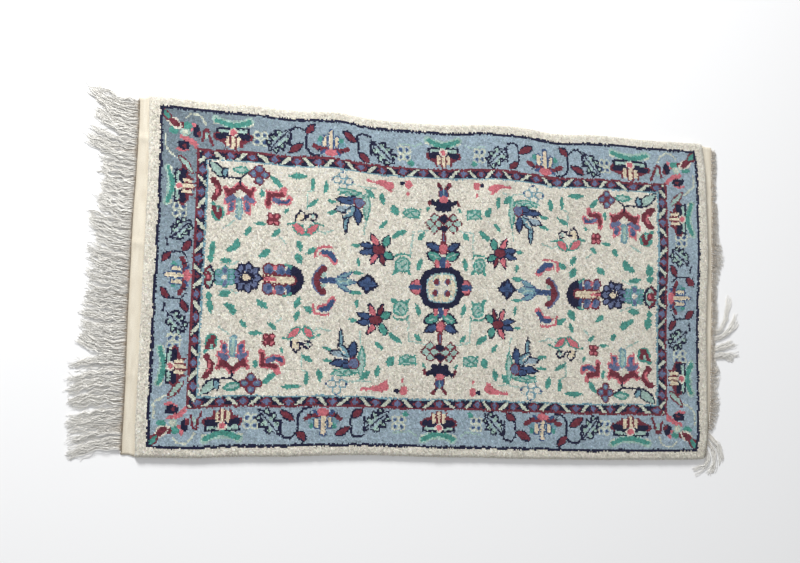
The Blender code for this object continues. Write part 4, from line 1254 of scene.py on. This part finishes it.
def yarn_material(name, finish):
    """Matt yarn: the piece's own yarn colours, mottled by a fine grain, with a bump of loose fibres.

    Colour is the yarn colour times one plus or minus a share of the grain. Height is a finer noise.
    """
    sheen, roughness, grain, grain_share, fibre, bump = finish
    material = bpy.data.materials.new(name)
    material.use_nodes = True
    nodes, links = material.node_tree.nodes, material.node_tree.links
    shader = nodes["Principled BSDF"]
    set_inputs(shader, {"Roughness": roughness, "Specular IOR Level": 0.25,
                        "Sheen Weight": sheen, "Sheen Roughness": 0.5})
    yarn = nodes.new("ShaderNodeAttribute")
    yarn.attribute_name = "yarn"
    place = nodes.new("ShaderNodeTexCoord")
    mottle = nodes.new("ShaderNodeTexNoise")
    set_inputs(mottle, {"Scale": grain, "Detail": 3.0})
    depth = nodes.new("ShaderNodeMapRange")
    set_inputs(depth, {"From Min": 0.3, "From Max": 0.7,
                       "To Min": 1.0 - grain_share, "To Max": 1.0 + grain_share})
    mix = nodes.new("ShaderNodeMix")
    mix.data_type = "RGBA"
    mix.blend_type = "MULTIPLY"
    mix.inputs["Factor"].default_value = 1.0
    fibres = nodes.new("ShaderNodeTexNoise")
    set_inputs(fibres, {"Scale": fibre, "Detail": 2.0})
    relief = nodes.new("ShaderNodeBump")
    set_inputs(relief, {"Strength": bump, "Distance": 0.0004})
    links.new(place.outputs["Object"], mottle.inputs["Vector"])
    links.new(mottle.outputs["Fac"], depth.inputs["Value"])
    links.new(yarn.outputs["Color"], mix.inputs["A"])
    links.new(depth.outputs["Result"], mix.inputs["B"])
    links.new(mix.outputs["Result"], shader.inputs["Base Color"])
    links.new(place.outputs["Object"], fibres.inputs["Vector"])
    links.new(fibres.outputs["Fac"], relief.inputs["Height"])
    links.new(relief.outputs["Normal"], shader.inputs["Normal"])
    return material


def studio():
    """Plain pale floor, soft light from all round with two large lamps above, and the camera."""
    floor_mesh = bpy.data.meshes.new("floor")
    reach = FLOOR_REACH
    floor_mesh.from_pydata([(-reach, -reach, 0), (reach, -reach, 0), (reach, reach, 0), (-reach, reach, 0)],
                           [], [(0, 1, 2, 3)])
    floor = show("floor", floor_mesh)
    paint = bpy.data.materials.new("pale floor")
    paint.use_nodes = True
    set_inputs(paint.node_tree.nodes["Principled BSDF"],
               {"Base Color": FLOOR_COLOUR, "Roughness": 0.9, "Specular IOR Level": 0.1})
    floor_mesh.materials.append(paint)

    sky = bpy.data.worlds.new("studio")
    sky.use_nodes = True
    set_inputs(sky.node_tree.nodes["Background"], {"Color": SKY_COLOUR, "Strength": SKY_STRENGTH})
    bpy.context.scene.world = sky
    for lamp in LAMPS:
        add_lamp(*lamp)
    bpy.context.scene.view_settings.view_transform = "Standard"

    lens = bpy.data.cameras.new("view")
    lens.lens = CAMERA_LENS
    lens.sensor_width = 36.0
    lens.dof.use_dof = False
    camera = show("view", lens)
    back = (Vector(CAMERA_PLACE) - Vector(CAMERA_TARGET)).normalized()
    right = Vector(PICTURE_UP).cross(back).normalized()
    turn = Matrix((right, back.cross(right), back)).transposed().to_4x4()
    camera.matrix_world = Matrix.Translation(CAMERA_PLACE) @ turn
    bpy.context.scene.camera = camera


def add_lamp(name, place, size, power):
    """A large square lamp that faces the middle of the rug."""
    light = bpy.data.lights.new(name, "AREA")
    light.shape = "SQUARE"
    light.size = size
    light.energy = power
    lamp = show(name, light)
    lamp.location = place
    lamp.rotation_euler = Vector(place).to_track_quat("Z", "Y").to_euler()


def claim(pieces, node):
    """Fix pieces to the root body and hide the plain solid that they replace."""
    for piece in pieces:
        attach(piece, "root")
        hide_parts(node)


def main():
    """Build the studio and the rug's ten pieces."""
    studio()
    corners = pile_grid()
    knots = knot_chart(*knot_places(corners))
    wool = yarn_material("knotted wool", WOOL)
    web_cotton = yarn_material("woven cotton", WOVEN_COTTON)
    fringe_cotton = yarn_material("twisted cotton", TWISTED_COTTON)
    pile = knotted_pile(corners, knots, wool)
    ground = ground_weave(knots, web_cotton)
    left_edge = knotted_edge("left_end_knots", fringe_cotton)
    right_edge = knotted_edge("right_end_knots", fringe_cotton)
    left_fringe = long_fringe(fringe_cotton)
    right_fringe = short_fringe(fringe_cotton)
    escaped = loose_locks(fringe_cotton)

    claim(pile, "rug_body")
    claim([ground], "rug_body")
    claim([left_edge, left_fringe], "fringe_left")
    claim([right_edge, right_fringe, escaped], "fringe_right")


main()
